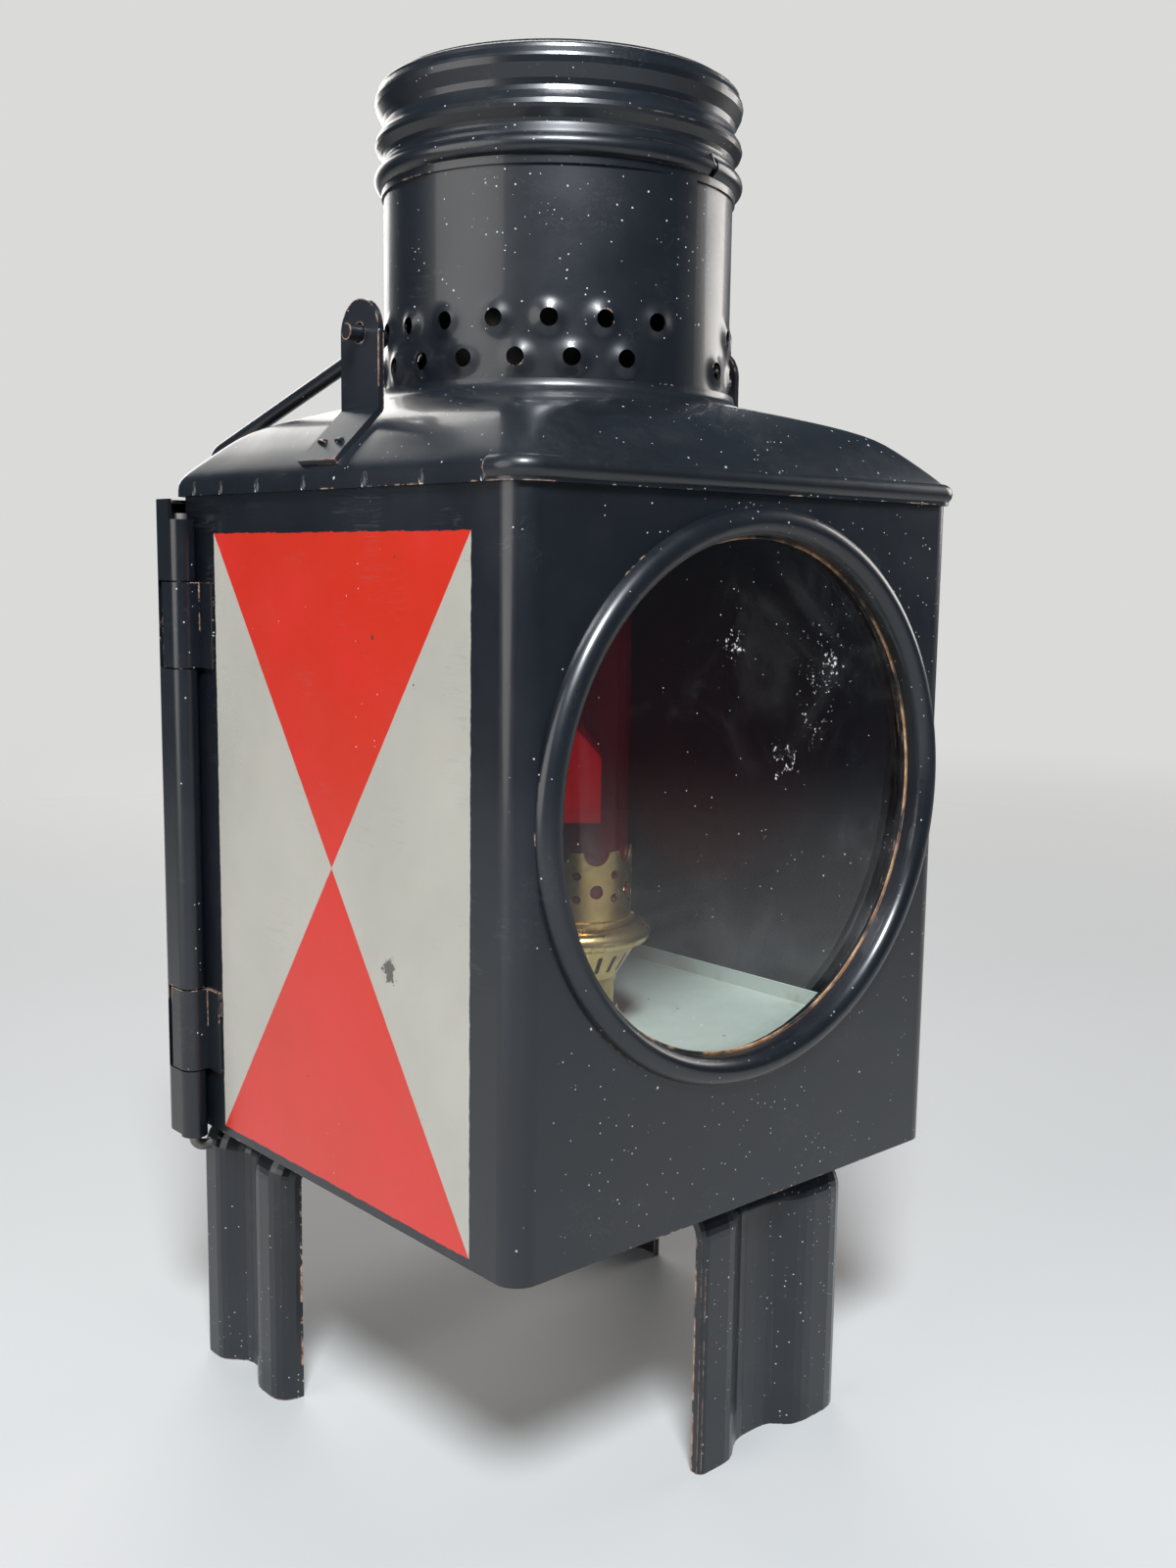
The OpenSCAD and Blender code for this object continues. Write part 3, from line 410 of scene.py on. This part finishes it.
def pane(name, tint, through=1.0, patch=None):
    """Clear or coloured glass. Light that falls through it is only tinted, so that the room behind it is lit."""
    finish, s, shader = new_finish(name, Transmission_Weight=through, IOR=1.45, Metallic=0.0)
    where = s.place()
    tone = s.noise(where, 12.0, 3.0)
    colour = s.blend(s.step(tone, 0.3, 0.7), tint, tuple(c * 0.94 for c in tint))
    # patch paints a brighter colour and a faint glow onto the glass: painted light
    if patch is not None:
        over, glow, share = patch(s, where)
        colour = s.blend(share, colour, over)
        shader["Emission Strength"].default_value = 1.0
        s.wire(s.blend(share, (0.0, 0.0, 0.0), glow), shader["Emission Color"])
    s.wire(colour, shader["Base Color"])
    smear = s.step(s.noise(where, 26.0, 6.0, 0.65, 1.2), 0.55, 0.80)
    s.wire(s.maths("MULTIPLY", smear, 0.03), shader["Roughness"])
    path = s.node("ShaderNodeLightPath")
    passing = s.maths("MAXIMUM", path.outputs["Is Shadow Ray"], path.outputs["Is Diffuse Ray"])
    clear = s.node("ShaderNodeBsdfTransparent")
    s.wire((*tint, 1.0), clear.inputs[0])
    both = s.node("ShaderNodeMixShader")
    out = next(n for n in finish.node_tree.nodes if n.type == "OUTPUT_MATERIAL")
    glass = next(n for n in finish.node_tree.nodes if n.type == "BSDF_PRINCIPLED")
    s.wire(passing, both.inputs[0])
    s.wire(glass.outputs[0], both.inputs[1])
    s.wire(clear.outputs[0], both.inputs[2])
    s.wire(both.outputs[0], out.inputs[0])
    return finish


def ruby_painted_glow(s, where):
    """Painted light: a stretch of the ruby sleeve painted a brighter red, with a faint painted glow."""
    x, y, z = s.split(where)
    over = s.vector("DOT_PRODUCT", s.vector("SUBTRACT", where, (case_x, burner_y, 0.0)), (0.743, -0.669, 0.0))
    side = s.step(over, 0.0072, 0.0066)
    arch = s.maths("MULTIPLY", s.maths("POWER", s.maths("MAXIMUM", s.maths("ADD", over, 0.0168), 0.0), 2.0), 30.0)
    top = s.step(s.maths("ADD", z, arch), 0.2440, 0.2425)
    low = s.step(z, 0.2046, 0.2050)
    return (0.50, 0.004, 0.014), (0.085, 0.0006, 0.002), s.maths("MULTIPLY", side, s.maths("MULTIPLY", top, low))


def cotton():
    finish, s, shader = new_finish("wick_cotton", Sheen_Weight=0.3)
    where = s.place()
    x, y, z = s.split(where)
    turn = s.maths("ARCTAN2", s.maths("SUBTRACT", y, burner_y), s.maths("SUBTRACT", x, case_x))
    warp = s.maths("SINE", s.maths("MULTIPLY", turn, 36.0))
    weft = s.maths("SINE", s.maths("MULTIPLY", z, 2 * pi / 0.0011))
    weave = s.maths("MULTIPLY", warp, weft)
    char = s.step(s.maths("ADD", z, s.maths("MULTIPLY", s.noise(where, 500.0), 0.003)), wick_top - 0.004, wick_top)
    colour = s.blend(s.step(weave, -1.0, 1.0), (0.55, 0.50, 0.40), (0.72, 0.68, 0.58))
    colour = s.blend(char, colour, (0.02, 0.018, 0.016))
    s.wire(colour, shader["Base Color"])
    s.wire(s.step(weave, -1.0, 1.0, 0.95, 0.8), shader["Roughness"])
    s.wire(s.bump(weave, 0.5, 0.0004), shader["Normal"])
    return finish


def dust_layer(name, amount):
    """Specks, dried splashes and smears that lie on the outside of the glass."""
    finish, s, shader = new_finish(name)
    where = s.place()
    fine = s.use(SPECKS, Where=where, Scale=560.0, Amount=amount, Size=0.17, Drift=16.0)["Mask"]
    more = s.use(SPECKS, Where=where, Scale=200.0, Amount=amount * 0.4, Size=0.10, Drift=22.0)["Mask"]
    splash = None
    for across, up, wide in ((0.035, 0.040, 0.017), (0.016, 0.010, 0.012), (0.030, 0.022, 0.010), (-0.008, 0.047, 0.008)):
        middle = (case_x + across, glass_low.y, window_z + up)
        near = s.step(s.vector("DISTANCE", where, middle), wide, wide * 0.2)
        splash = near if splash is None else s.maths("MAXIMUM", splash, near)
    grains = s.maths("ADD", s.noise(where, 520.0, 5.0, 0.75), s.maths("MULTIPLY", splash, 0.085))
    splash = s.maths("MULTIPLY", s.step(grains, 0.665, 0.705), s.maths("GREATER_THAN", splash, 0.01))
    haze = s.step(s.noise(where, 24.0, 6.0, 0.65, 0.8), 0.45, 0.85, 0.0, 0.055)
    tone = s.noise(where, 200.0)
    s.wire(s.blend(tone, (0.50, 0.51, 0.51), (0.66, 0.66, 0.65)), shader["Base Color"])
    cover = s.maths("MAXIMUM", s.maths("MAXIMUM", fine, more), splash)
    s.wire(s.maths("ADD", cover, haze, clamp=True), shader["Alpha"])
    s.wire(s.step(tone, 0.3, 0.7, 0.8, 0.95), shader["Roughness"])
    return finish


# ---------------------------------------------------------------- places taken from the frame
case_low, case_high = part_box("casing")
glass_low, glass_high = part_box("front_glass")
wick_low, wick_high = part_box("wick")
case_x = (case_low.x + case_high.x) / 2
case_half = (case_high.x - case_low.x) / 2
window_z = (glass_low.z + glass_high.z) / 2
front_face = glass_low.y - 0.004
burner_y = (wick_low.y + wick_high.y) / 2
wick_top = wick_high.z
sign_y = front_face + 0.0904
sign_half_u = 0.0702
sign_z = case_low.z + 0.1062
sign_half_v = 0.1031
bead_inner = 0.0800


def paint(names, finish):
    for name in names:
        slots = part[name].data.materials
        for k in range(max(1, len(slots))):
            if len(slots):
                slots[k] = finish
            else:
                slots.append(finish)


ENAMEL = black_enamel("black_enamel")
FITTING = black_enamel("fitting_enamel", chips=0.50)
CHIMNEY = black_enamel("chimney_enamel", specks=0.24, dust=0.22, grain=1.0, shine=0.30)
paint(["casing"], black_enamel("case_enamel", chips=0.25, grain=0.25, extra=day_sign, rim=window_rust))
paint(["roof", "cap", "cap_band"], ENAMEL)
paint(["chimney_tube"], CHIMNEY)
paint(["door", "door_glass_ring", "front_glass_ring", "front_ring_tabs", "door_ring_tabs"], ENAMEL)
paint(["lug_left", "lug_right", "bail", "hinge_straps", "door_knob"], FITTING)
paint(["foot_front", "foot_left", "foot_right"], black_enamel("foot_enamel", chips=0.78, specks=0.22, dust=0.35))
paint(["floor_plate"], black_enamel("floor_enamel", shine=0.4))
paint(["font"], font_enamel())
paint(["burner_collar", "air_basket", "gallery", "wick_tube", "wick_spindle", "wick_knob", "filler_cap"], old_brass())
paint(["hinge_rod", "door_spring"], dull_steel("dull_steel", (0.30, 0.29, 0.27)))
paint(["smoke_pipe"], dull_steel("sooty_steel", (0.10, 0.095, 0.09), rust=0.6))
paint(["front_glass"], pane("clear_glass", (0.95, 0.975, 0.965)))
paint(["door_glass"], pane("ruby_pane", (0.55, 0.008, 0.014)))
# the ruby sleeve carries a painted bright patch with a faint painted glow
paint(["lamp_chimney"], pane("ruby_sleeve", (0.42, 0.010, 0.035), through=0.72, patch=ruby_painted_glow))
paint(["wick"], cotton())


# ---------------------------------------------------------------- new pieces
def clear_selection():
    if bpy.context.object and bpy.context.object.mode != "OBJECT":
        bpy.ops.object.mode_set(mode="OBJECT")
    bpy.ops.object.select_all(action="DESELECT")


def settle(name, finish, body):
    """Names the active piece, puts its place into its mesh, gives it a finish and hangs it on a body."""
    piece = bpy.context.object
    if piece.mode != "OBJECT":
        bpy.ops.object.mode_set(mode="OBJECT")
    bpy.ops.object.transform_apply(location=True, rotation=True, scale=True)
    piece.name = name
    piece.data.name = name
    piece.data.materials.clear()
    piece.data.materials.append(finish)
    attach(piece, body)
    return piece


def dusty_disc():
    clear_selection()
    bpy.ops.mesh.primitive_circle_add(vertices=96, radius=0.0797, fill_type="NGON",
                                      location=(case_x, glass_low.y - 0.0002, window_z), rotation=(pi / 2, 0, 0))
    bpy.ops.object.mode_set(mode="EDIT")
    bpy.ops.mesh.inset(thickness=0.0006)
    piece = settle("front_glass_dust", dust_layer("glass_dust", 0.22), "case")


dusty_disc()


def mm(*values):
    return tuple(v / 1000 for v in values)


def edit_all(select=True):
    bpy.ops.object.mode_set(mode="EDIT")
    bpy.ops.mesh.select_all(action="SELECT" if select else "DESELECT")


def apply_modifier(kind, **settings):
    """Adds a modifier to the active piece, sets it and applies it."""
    piece = bpy.context.object
    if piece.mode != "OBJECT":
        bpy.ops.object.mode_set(mode="OBJECT")
    step = piece.modifiers.new("step", kind)
    for key, value in settings.items():
        setattr(step, key, value)
    bpy.ops.object.modifier_apply(modifier="step")


def smooth(angle=35):
    if bpy.context.object.mode != "OBJECT":
        bpy.ops.object.mode_set(mode="OBJECT")
    bpy.ops.object.shade_smooth_by_angle(angle=radians(angle))


def join_pieces(pieces):
    clear_selection()
    for piece in pieces:
        piece.select_set(True)
    bpy.context.view_layer.objects.active = pieces[0]
    bpy.ops.object.join()
    bpy.ops.object.transform_apply(location=True, rotation=True, scale=True)
    return bpy.context.object


def cut_away(piece, cutters):
    """Takes a set of joined cutters out of a piece."""
    tool = join_pieces(cutters)
    clear_selection()
    piece.select_set(True)
    bpy.context.view_layer.objects.active = piece
    apply_modifier("BOOLEAN", operation="DIFFERENCE", solver="EXACT", object=tool)
    bpy.data.objects.remove(tool)


def drawn_outline(points):
    """One vertex drawn out point by point into an open outline."""
    clear_selection()
    bpy.ops.mesh.primitive_plane_add(size=0.001, location=points[0])
    edit_all()
    bpy.ops.mesh.select_mode(type="VERT")
    bpy.ops.mesh.merge(type="CENTER")
    for here, there in zip(points, points[1:]):
        step = tuple(b - a for a, b in zip(here, there))
        bpy.ops.mesh.extrude_region_move(TRANSFORM_OT_translate={"value": step})


def spun(points, centre, steps, turn=360.0, axis=(0, 0, 1)):
    """An outline turned about an axis, with its faces outwards."""
    drawn_outline(points)
    bpy.ops.mesh.select_all(action="SELECT")
    bpy.ops.mesh.spin(steps=steps, angle=radians(turn), center=centre, axis=axis)
    bpy.ops.mesh.select_all(action="SELECT")
    bpy.ops.mesh.remove_doubles(threshold=0.00001)
    bpy.ops.mesh.select_all(action="SELECT")
    bpy.ops.mesh.normals_make_consistent(inside=False)
    bpy.ops.object.mode_set(mode="OBJECT")
    return bpy.context.object


# ---------------------------------------------------------------- chimney
tube_low, tube_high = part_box("chimney_tube")
pipe_low, pipe_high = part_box("smoke_pipe")
lamp_x = (pipe_low.x + pipe_high.x) / 2
lamp_y = (pipe_low.y + pipe_high.y) / 2
roof_low, roof_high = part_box("roof")
neck_z = roof_low.z + 0.031
tube_r = 0.058
vents_round = 20
vent_pitch = 16.84
vent_rows = ((-69.5, 0.010), (-59.5, 0.0215))


def vent_places():
    for first, up in vent_rows:
        for k in range(vents_round):
            yield radians(first + k * vent_pitch), neck_z + up


def rolled_chimney():
    """A rolled sheet with a lap down its front, two rows of dimples pressed outwards and a hole in each."""
    low, high = neck_z - 0.004, tube_high.z - 0.001
    heights = [low] + [neck_z + 0.0012 * k for k in range(27)] + [neck_z + 0.034 + 0.006 * k for k in range(6)] + [high]
    lap = radians(-84.0)
    start = Vector((lamp_x + tube_r * cos(lap), lamp_y + tube_r * sin(lap), 0))
    drawn_outline([(start.x, start.y, z) for z in heights])
    bpy.ops.mesh.select_all(action="SELECT")
    bpy.ops.mesh.spin(steps=244, angle=radians(366), center=(lamp_x, lamp_y, 0), axis=(0, 0, 1), use_auto_merge=False)
    bpy.ops.object.mode_set(mode="OBJECT")
    piece = bpy.context.object
    bpy.ops.object.transform_apply(location=True, rotation=True, scale=True)
    for v in piece.data.vertices:
        turn = 1.5 * (v.index // len(heights))
        lift = 0.0009 * max(0.0, 1 - max(0.0, turn - 8) / 30) ** 2
        out = Vector((v.co.x - lamp_x, v.co.y - lamp_y, 0)).normalized()
        v.co += out * lift
    for turn, z in vent_places():
        out = Vector((cos(turn), sin(turn), 0))
        aim = Vector((lamp_x, lamp_y, z)) + out * tube_r
        edit_all(False)
        bpy.ops.object.mode_set(mode="OBJECT")
        nearest = min(piece.data.vertices, key=lambda v: (v.co - aim).length_squared)
        nearest.select = True
        bpy.ops.object.mode_set(mode="EDIT")
        bpy.ops.mesh.select_mode(type="VERT")
        bpy.ops.transform.translate(value=out * 0.0017, use_proportional_edit=True,
                                    proportional_edit_falloff="SMOOTH", proportional_size=0.0068)
    edit_all()
    bpy.ops.mesh.normals_make_consistent(inside=False)
    apply_modifier("SUBSURF", levels=1, render_levels=1)
    apply_modifier("SOLIDIFY", thickness=0.0008, offset=-1)
    cutters = []
    for turn, z in vent_places():
        clear_selection()
        bpy.ops.mesh.primitive_cylinder_add(vertices=20, radius=0.0028, depth=0.012, rotation=(0, pi / 2, turn),
                                            location=(lamp_x + tube_r * cos(turn), lamp_y + tube_r * sin(turn), z))
        cutters.append(bpy.context.object)
    cut_away(piece, cutters)
    smooth(38)
    settle("rolled_chimney", CHIMNEY, "case")
    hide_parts("chimney_tube")


rolled_chimney()


# ---------------------------------------------------------------- roof
roof_x = (roof_low.x + roof_high.x) / 2
roof_y = (roof_low.y + roof_high.y) / 2
roof_half_x = (roof_high.x - roof_low.x) / 2
roof_half_y = (roof_high.y - roof_low.y) / 2
SIDE_CUTS, CORNER_CUTS = 14, 18


def square_ring(z, half_x, half_y, corner, share):
    """A square of edges with rounded corners. share moves its middle from the roof's to the chimney's."""
    clear_selection()
    middle = (roof_x + (lamp_x - roof_x) * share, roof_y + (lamp_y - roof_y) * share, z)
    bpy.ops.mesh.primitive_plane_add(size=2, location=middle)
    piece = bpy.context.object
    piece.scale = (half_x, half_y, 1)
    bpy.ops.object.transform_apply(location=True, rotation=True, scale=True)
    edit_all()
    bpy.ops.mesh.delete(type="ONLY_FACE")
    bpy.ops.mesh.select_all(action="SELECT")
    bpy.ops.mesh.bevel(offset=corner, offset_type="OFFSET", segments=CORNER_CUTS, affect="VERTICES", profile=0.5)
    bpy.ops.object.mode_set(mode="OBJECT")
    for edge in piece.data.edges:
        a, b = (piece.data.vertices[k].co for k in edge.vertices)
        edge.select = min(abs(a.x - b.x), abs(a.y - b.y)) < 1e-6
    bpy.ops.object.mode_set(mode="EDIT")
    bpy.ops.mesh.select_mode(type="EDGE")
    bpy.ops.mesh.subdivide(number_cuts=SIDE_CUTS - 1)
    bpy.ops.object.mode_set(mode="OBJECT")
    return piece


def pressed_roof():
    """One pressed sheet: a soft square shoulder that turns into a round neck."""
    base = roof_low.z
    levels = []
    rings = []
    for up, inset, corner in (
            mm(0.0, 0.0, 9.5), mm(2.4, 0.0, 9.5), mm(4.4, 0.25, 9.5), mm(6.2, 1.0, 9.6), mm(8.2, 2.6, 9.8),
            mm(12.5, 6.8, 10.5), mm(18.0, 12.6, 11.5), mm(21.4, 16.6, 13.0), mm(24.0, 21.4, 18.0)):
        rings.append(square_ring(base + up, roof_half_x - inset, roof_half_y - inset, corner, 0.0))
        levels.append(base + up)
    for up, half, roundness, share in (
            (26.2, 70.2, 0.42, 0.3), (28.0, 66.6, 0.66, 0.6), (29.4, 63.8, 0.86, 0.85), (30.6, 61.6, 0.975, 1.0),
            (31.8, 60.3, 0.985, 1.0), (33.0, 59.8, 0.985, 1.0), (34.4, 59.6, 0.985, 1.0)):
        half /= 1000
        rings.append(square_ring(base + up / 1000, half, half, half * roundness, share))
        levels.append(base + up / 1000)
    piece = join_pieces(rings)
    for low, high in zip(levels, levels[1:]):
        edit_all(False)
        bpy.ops.mesh.select_mode(type="EDGE")
        bpy.ops.object.mode_set(mode="OBJECT")
        for edge in piece.data.edges:
            a, b = (piece.data.vertices[j].co.z for j in edge.vertices)
            edge.select = any(abs(a - z) < 1e-6 and abs(b - z) < 1e-6 for z in (low, high))
        bpy.ops.object.mode_set(mode="EDIT")
        bpy.ops.mesh.bridge_edge_loops()
    edit_all()
    bpy.ops.mesh.normals_make_consistent(inside=False)
    bpy.ops.object.mode_set(mode="OBJECT")
    top = max(piece.data.polygons, key=lambda f: abs(f.normal.z))
    if top.normal.z < 0:
        edit_all()
        bpy.ops.mesh.flip_normals()
    apply_modifier("SUBSURF", levels=1, render_levels=1)
    apply_modifier("SOLIDIFY", thickness=0.0012, offset=-1)
    dents = []
    for along in mm(74.9, 56.8, 33.5, 6.0, -27.0, -55.3, -82.9):
        for side in (-1, 1):
            dents.append((roof_x + side * (roof_half_x + 0.0008), roof_y + 0.002 + along))
    for along in mm(-70.0, -41.0, -12.0, 18.0, 47.0, 72.0):
        dents.append((roof_x + along, roof_high.y + 0.0008))
    cutters = []
    for x, y in dents:
        clear_selection()
        bpy.ops.mesh.primitive_uv_sphere_add(segments=16, ring_count=10, radius=0.0017, location=(x, y, base + 0.0022),
                                             scale=(1, 1, 1.9))
        cutters.append(bpy.context.object)
    cut_away(piece, cutters)
    smooth(40)
    settle("pressed_roof", ENAMEL, "case")
    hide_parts("roof")


pressed_roof()


def wire_along(name, points, radius, finish, body):
    """A round wire through the points, with closed ends."""
    path = bpy.data.curves.new(name, "CURVE")
    path.dimensions = "3D"
    path.bevel_depth = radius
    path.bevel_resolution = 5
    path.use_fill_caps = True
    line = path.splines.new("POLY")
    line.points.add(len(points) - 1)
    for point, place in zip(line.points, points):
        point.co = (*place, 1)
    piece = bpy.data.objects.new(name, path)
    scene.collection.objects.link(piece)
    clear_selection()
    piece.select_set(True)
    bpy.context.view_layer.objects.active = piece
    bpy.ops.object.convert(target="MESH")
    smooth(50)
    settle(name, finish, body)


def eave_roll():
    """The rolled lower edge across the front, which wraps both front corners."""
    back, corner, z = roof_low.y + 0.0135, 0.0075, roof_low.z + 0.0037
    left, right, front = roof_low.x + 0.0020, roof_high.x - 0.0020, roof_low.y + 0.0020
    points = [(left, back, z)]
    for k in range(13):
        turn = pi + pi / 2 * k / 12
        points.append((left + corner + corner * cos(turn), front + corner + corner * sin(turn), z))
    for k in range(13):
        turn = 1.5 * pi + pi / 2 * k / 12
        points.append((right - corner + corner * cos(turn), front + corner + corner * sin(turn), z))
    points.append((right, back, z))
    wire_along("eave_roll", points, 0.0033, ENAMEL, "case")


eave_roll()


def band_end():
    """The turned-up end of the wire that runs round under the cap."""
    band_low, band_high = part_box("cap_band")
    z = (band_low.z + band_high.z) / 2
    reach = (band_high.x - band_low.x) / 2 - 0.0016
    points = []
    for turn, up, out in ((-76.5, 0.0, 0.0), (-78.2, 0.0004, 0.0002), (-79.4, 0.0015, 0.0005), (-80.2, 0.0031, 0.0002)):
        turn = radians(turn)
        points.append((lamp_x + (reach + out) * cos(turn), lamp_y + (reach + out) * sin(turn), z + up))
    wire_along("band_end", points, 0.0013, ENAMEL, "case")


band_end()


def bare_edge():
    """Rust and bare metal, broken by old paint, where the pane meets the case."""
    finish, s, shader = new_finish("bare_rusty_edge")
    where = s.place()
    tone = s.noise(where, 300.0, 4.0, 0.65)
    colour = s.blend(s.step(tone, 0.35, 0.65), (0.20, 0.085, 0.035), (0.42, 0.27, 0.15))
    old_paint = s.step(s.noise(where, 34.0, 4.0, 0.6), 0.60, 0.50)
    s.wire(s.blend(old_paint, (0.006, 0.007, 0.009), colour), shader["Base Color"])
    s.wire(s.step(tone, 0.3, 0.7, 0.55, 0.85), shader["Roughness"])
    s.wire(s.bump(s.noise(where, 900.0, 3.0), 0.5, 0.0004), shader["Normal"])
    edge, y = 0.0795, glass_low.y - 0.00040
    outline = []
    for k in range(13):
        turn = 2 * pi * k / 12
        outline.append((case_x + edge + 0.00055 * cos(turn), y + 0.00035 * sin(turn), window_z))
    piece = spun(outline, (case_x, y, window_z), 144, axis=(0, 1, 0))
    smooth(60)
    settle("window_bare_edge", finish, "case")


bare_edge()


def spot_welds():
    """Two shallow weld marks on the foot of each lug."""
    for name in ("lug_left", "lug_right"):
        low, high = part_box(name)
        side = -1 if low.x < lamp_x else 1
        outer = low.x if side < 0 else high.x
        for k, along in enumerate(mm(-4.6, 4.6)):
            y = (low.y + high.y) / 2 + along
            x = outer - side * 0.0062
            z = low.z + 0.0062
            slope = 0.72 * side
            piece = spun([(x, y, z + 0.0021), (x + 0.0011, y, z + 0.0019), (x + 0.0019, y, z + 0.0012),
                          (x + 0.0024, y, z), (x, y, z)], (x, y, z), 20)
            bpy.ops.object.mode_set(mode="EDIT")
            bpy.ops.mesh.select_all(action="SELECT")
            bpy.ops.transform.rotate(value=slope, orient_axis="Y", center_override=(x, y, z))
            smooth(60)
            settle(f"{name}_weld_{k + 1}", FITTING, "case")


spot_welds()


# ---------------------------------------------------------------- floor and light
def studio():
    clear_selection()
    bpy.ops.mesh.primitive_plane_add(size=8, location=(0, 0, 0))
    floor = bpy.context.object
    floor.name = "studio_floor"
    finish, s, shader = new_finish("studio_floor", Roughness=0.8)
    tone = s.noise(s.place(), 3.0, 4.0)
    s.wire(s.blend(tone, (0.40, 0.40, 0.395), (0.42, 0.42, 0.415)), shader["Base Color"])
    s.wire(s.step(s.vector("LENGTH", s.place()), 0.55, 2.2, 1.0, 0.0), shader["Alpha"])
    floor.data.materials.append(finish)
    world = bpy.data.worlds.new("studio")
    world.use_nodes = True
    scene.world = world
    s = Sheet(world.node_tree)
    sky = world.node_tree.nodes["Background"]
    seen = s.node("ShaderNodeBackground")
    seen.inputs[0].default_value = (0.74, 0.74, 0.73, 1)
    seen.inputs[1].default_value = 0.95
    sky.inputs[0].default_value = (0.62, 0.78, 1.0, 1)
    sky.inputs[1].default_value = 0.09
    both = s.node("ShaderNodeMixShader")
    s.wire(s.node("ShaderNodeLightPath").outputs["Is Camera Ray"], both.inputs[0])
    s.wire(sky.outputs[0], both.inputs[1])
    s.wire(seen.outputs[0], both.inputs[2])
    s.wire(both.outputs[0], world.node_tree.nodes["World Output"].inputs[0])
    for name, place, aim, size, power, tint in (
            ("key", (-0.75, -0.95, 1.55), (0, 0, 0.30), 0.48, 66, (0.90, 0.95, 1.0)),
            ("left_wall", (-2.0, 0.35, 0.75), (0, 0, 0.25), 1.9, 24, (1.0, 0.97, 0.93)),
            ("back_wall", (0.9, 1.7, 1.1), (0, 0, 0.25), 1.8, 30, (1.0, 0.97, 0.93)),
            ("right_wall", (1.9, -0.2, 0.8), (0, 0, 0.25), 1.0, 12, (1.0, 0.96, 0.92))):
        light = bpy.data.lights.new(name, "AREA")
        light.shape = "DISK"
        light.size = size
        light.energy = power
        light.color = tint
        lamp = bpy.data.objects.new(name, light)
        scene.collection.objects.link(lamp)
        lamp.location = place
        lamp.rotation_euler = (Vector(aim) - Vector(place)).to_track_quat("-Z", "Y").to_euler()


studio()
scene.view_settings.view_transform = "Standard"
scene.view_settings.look = "None"
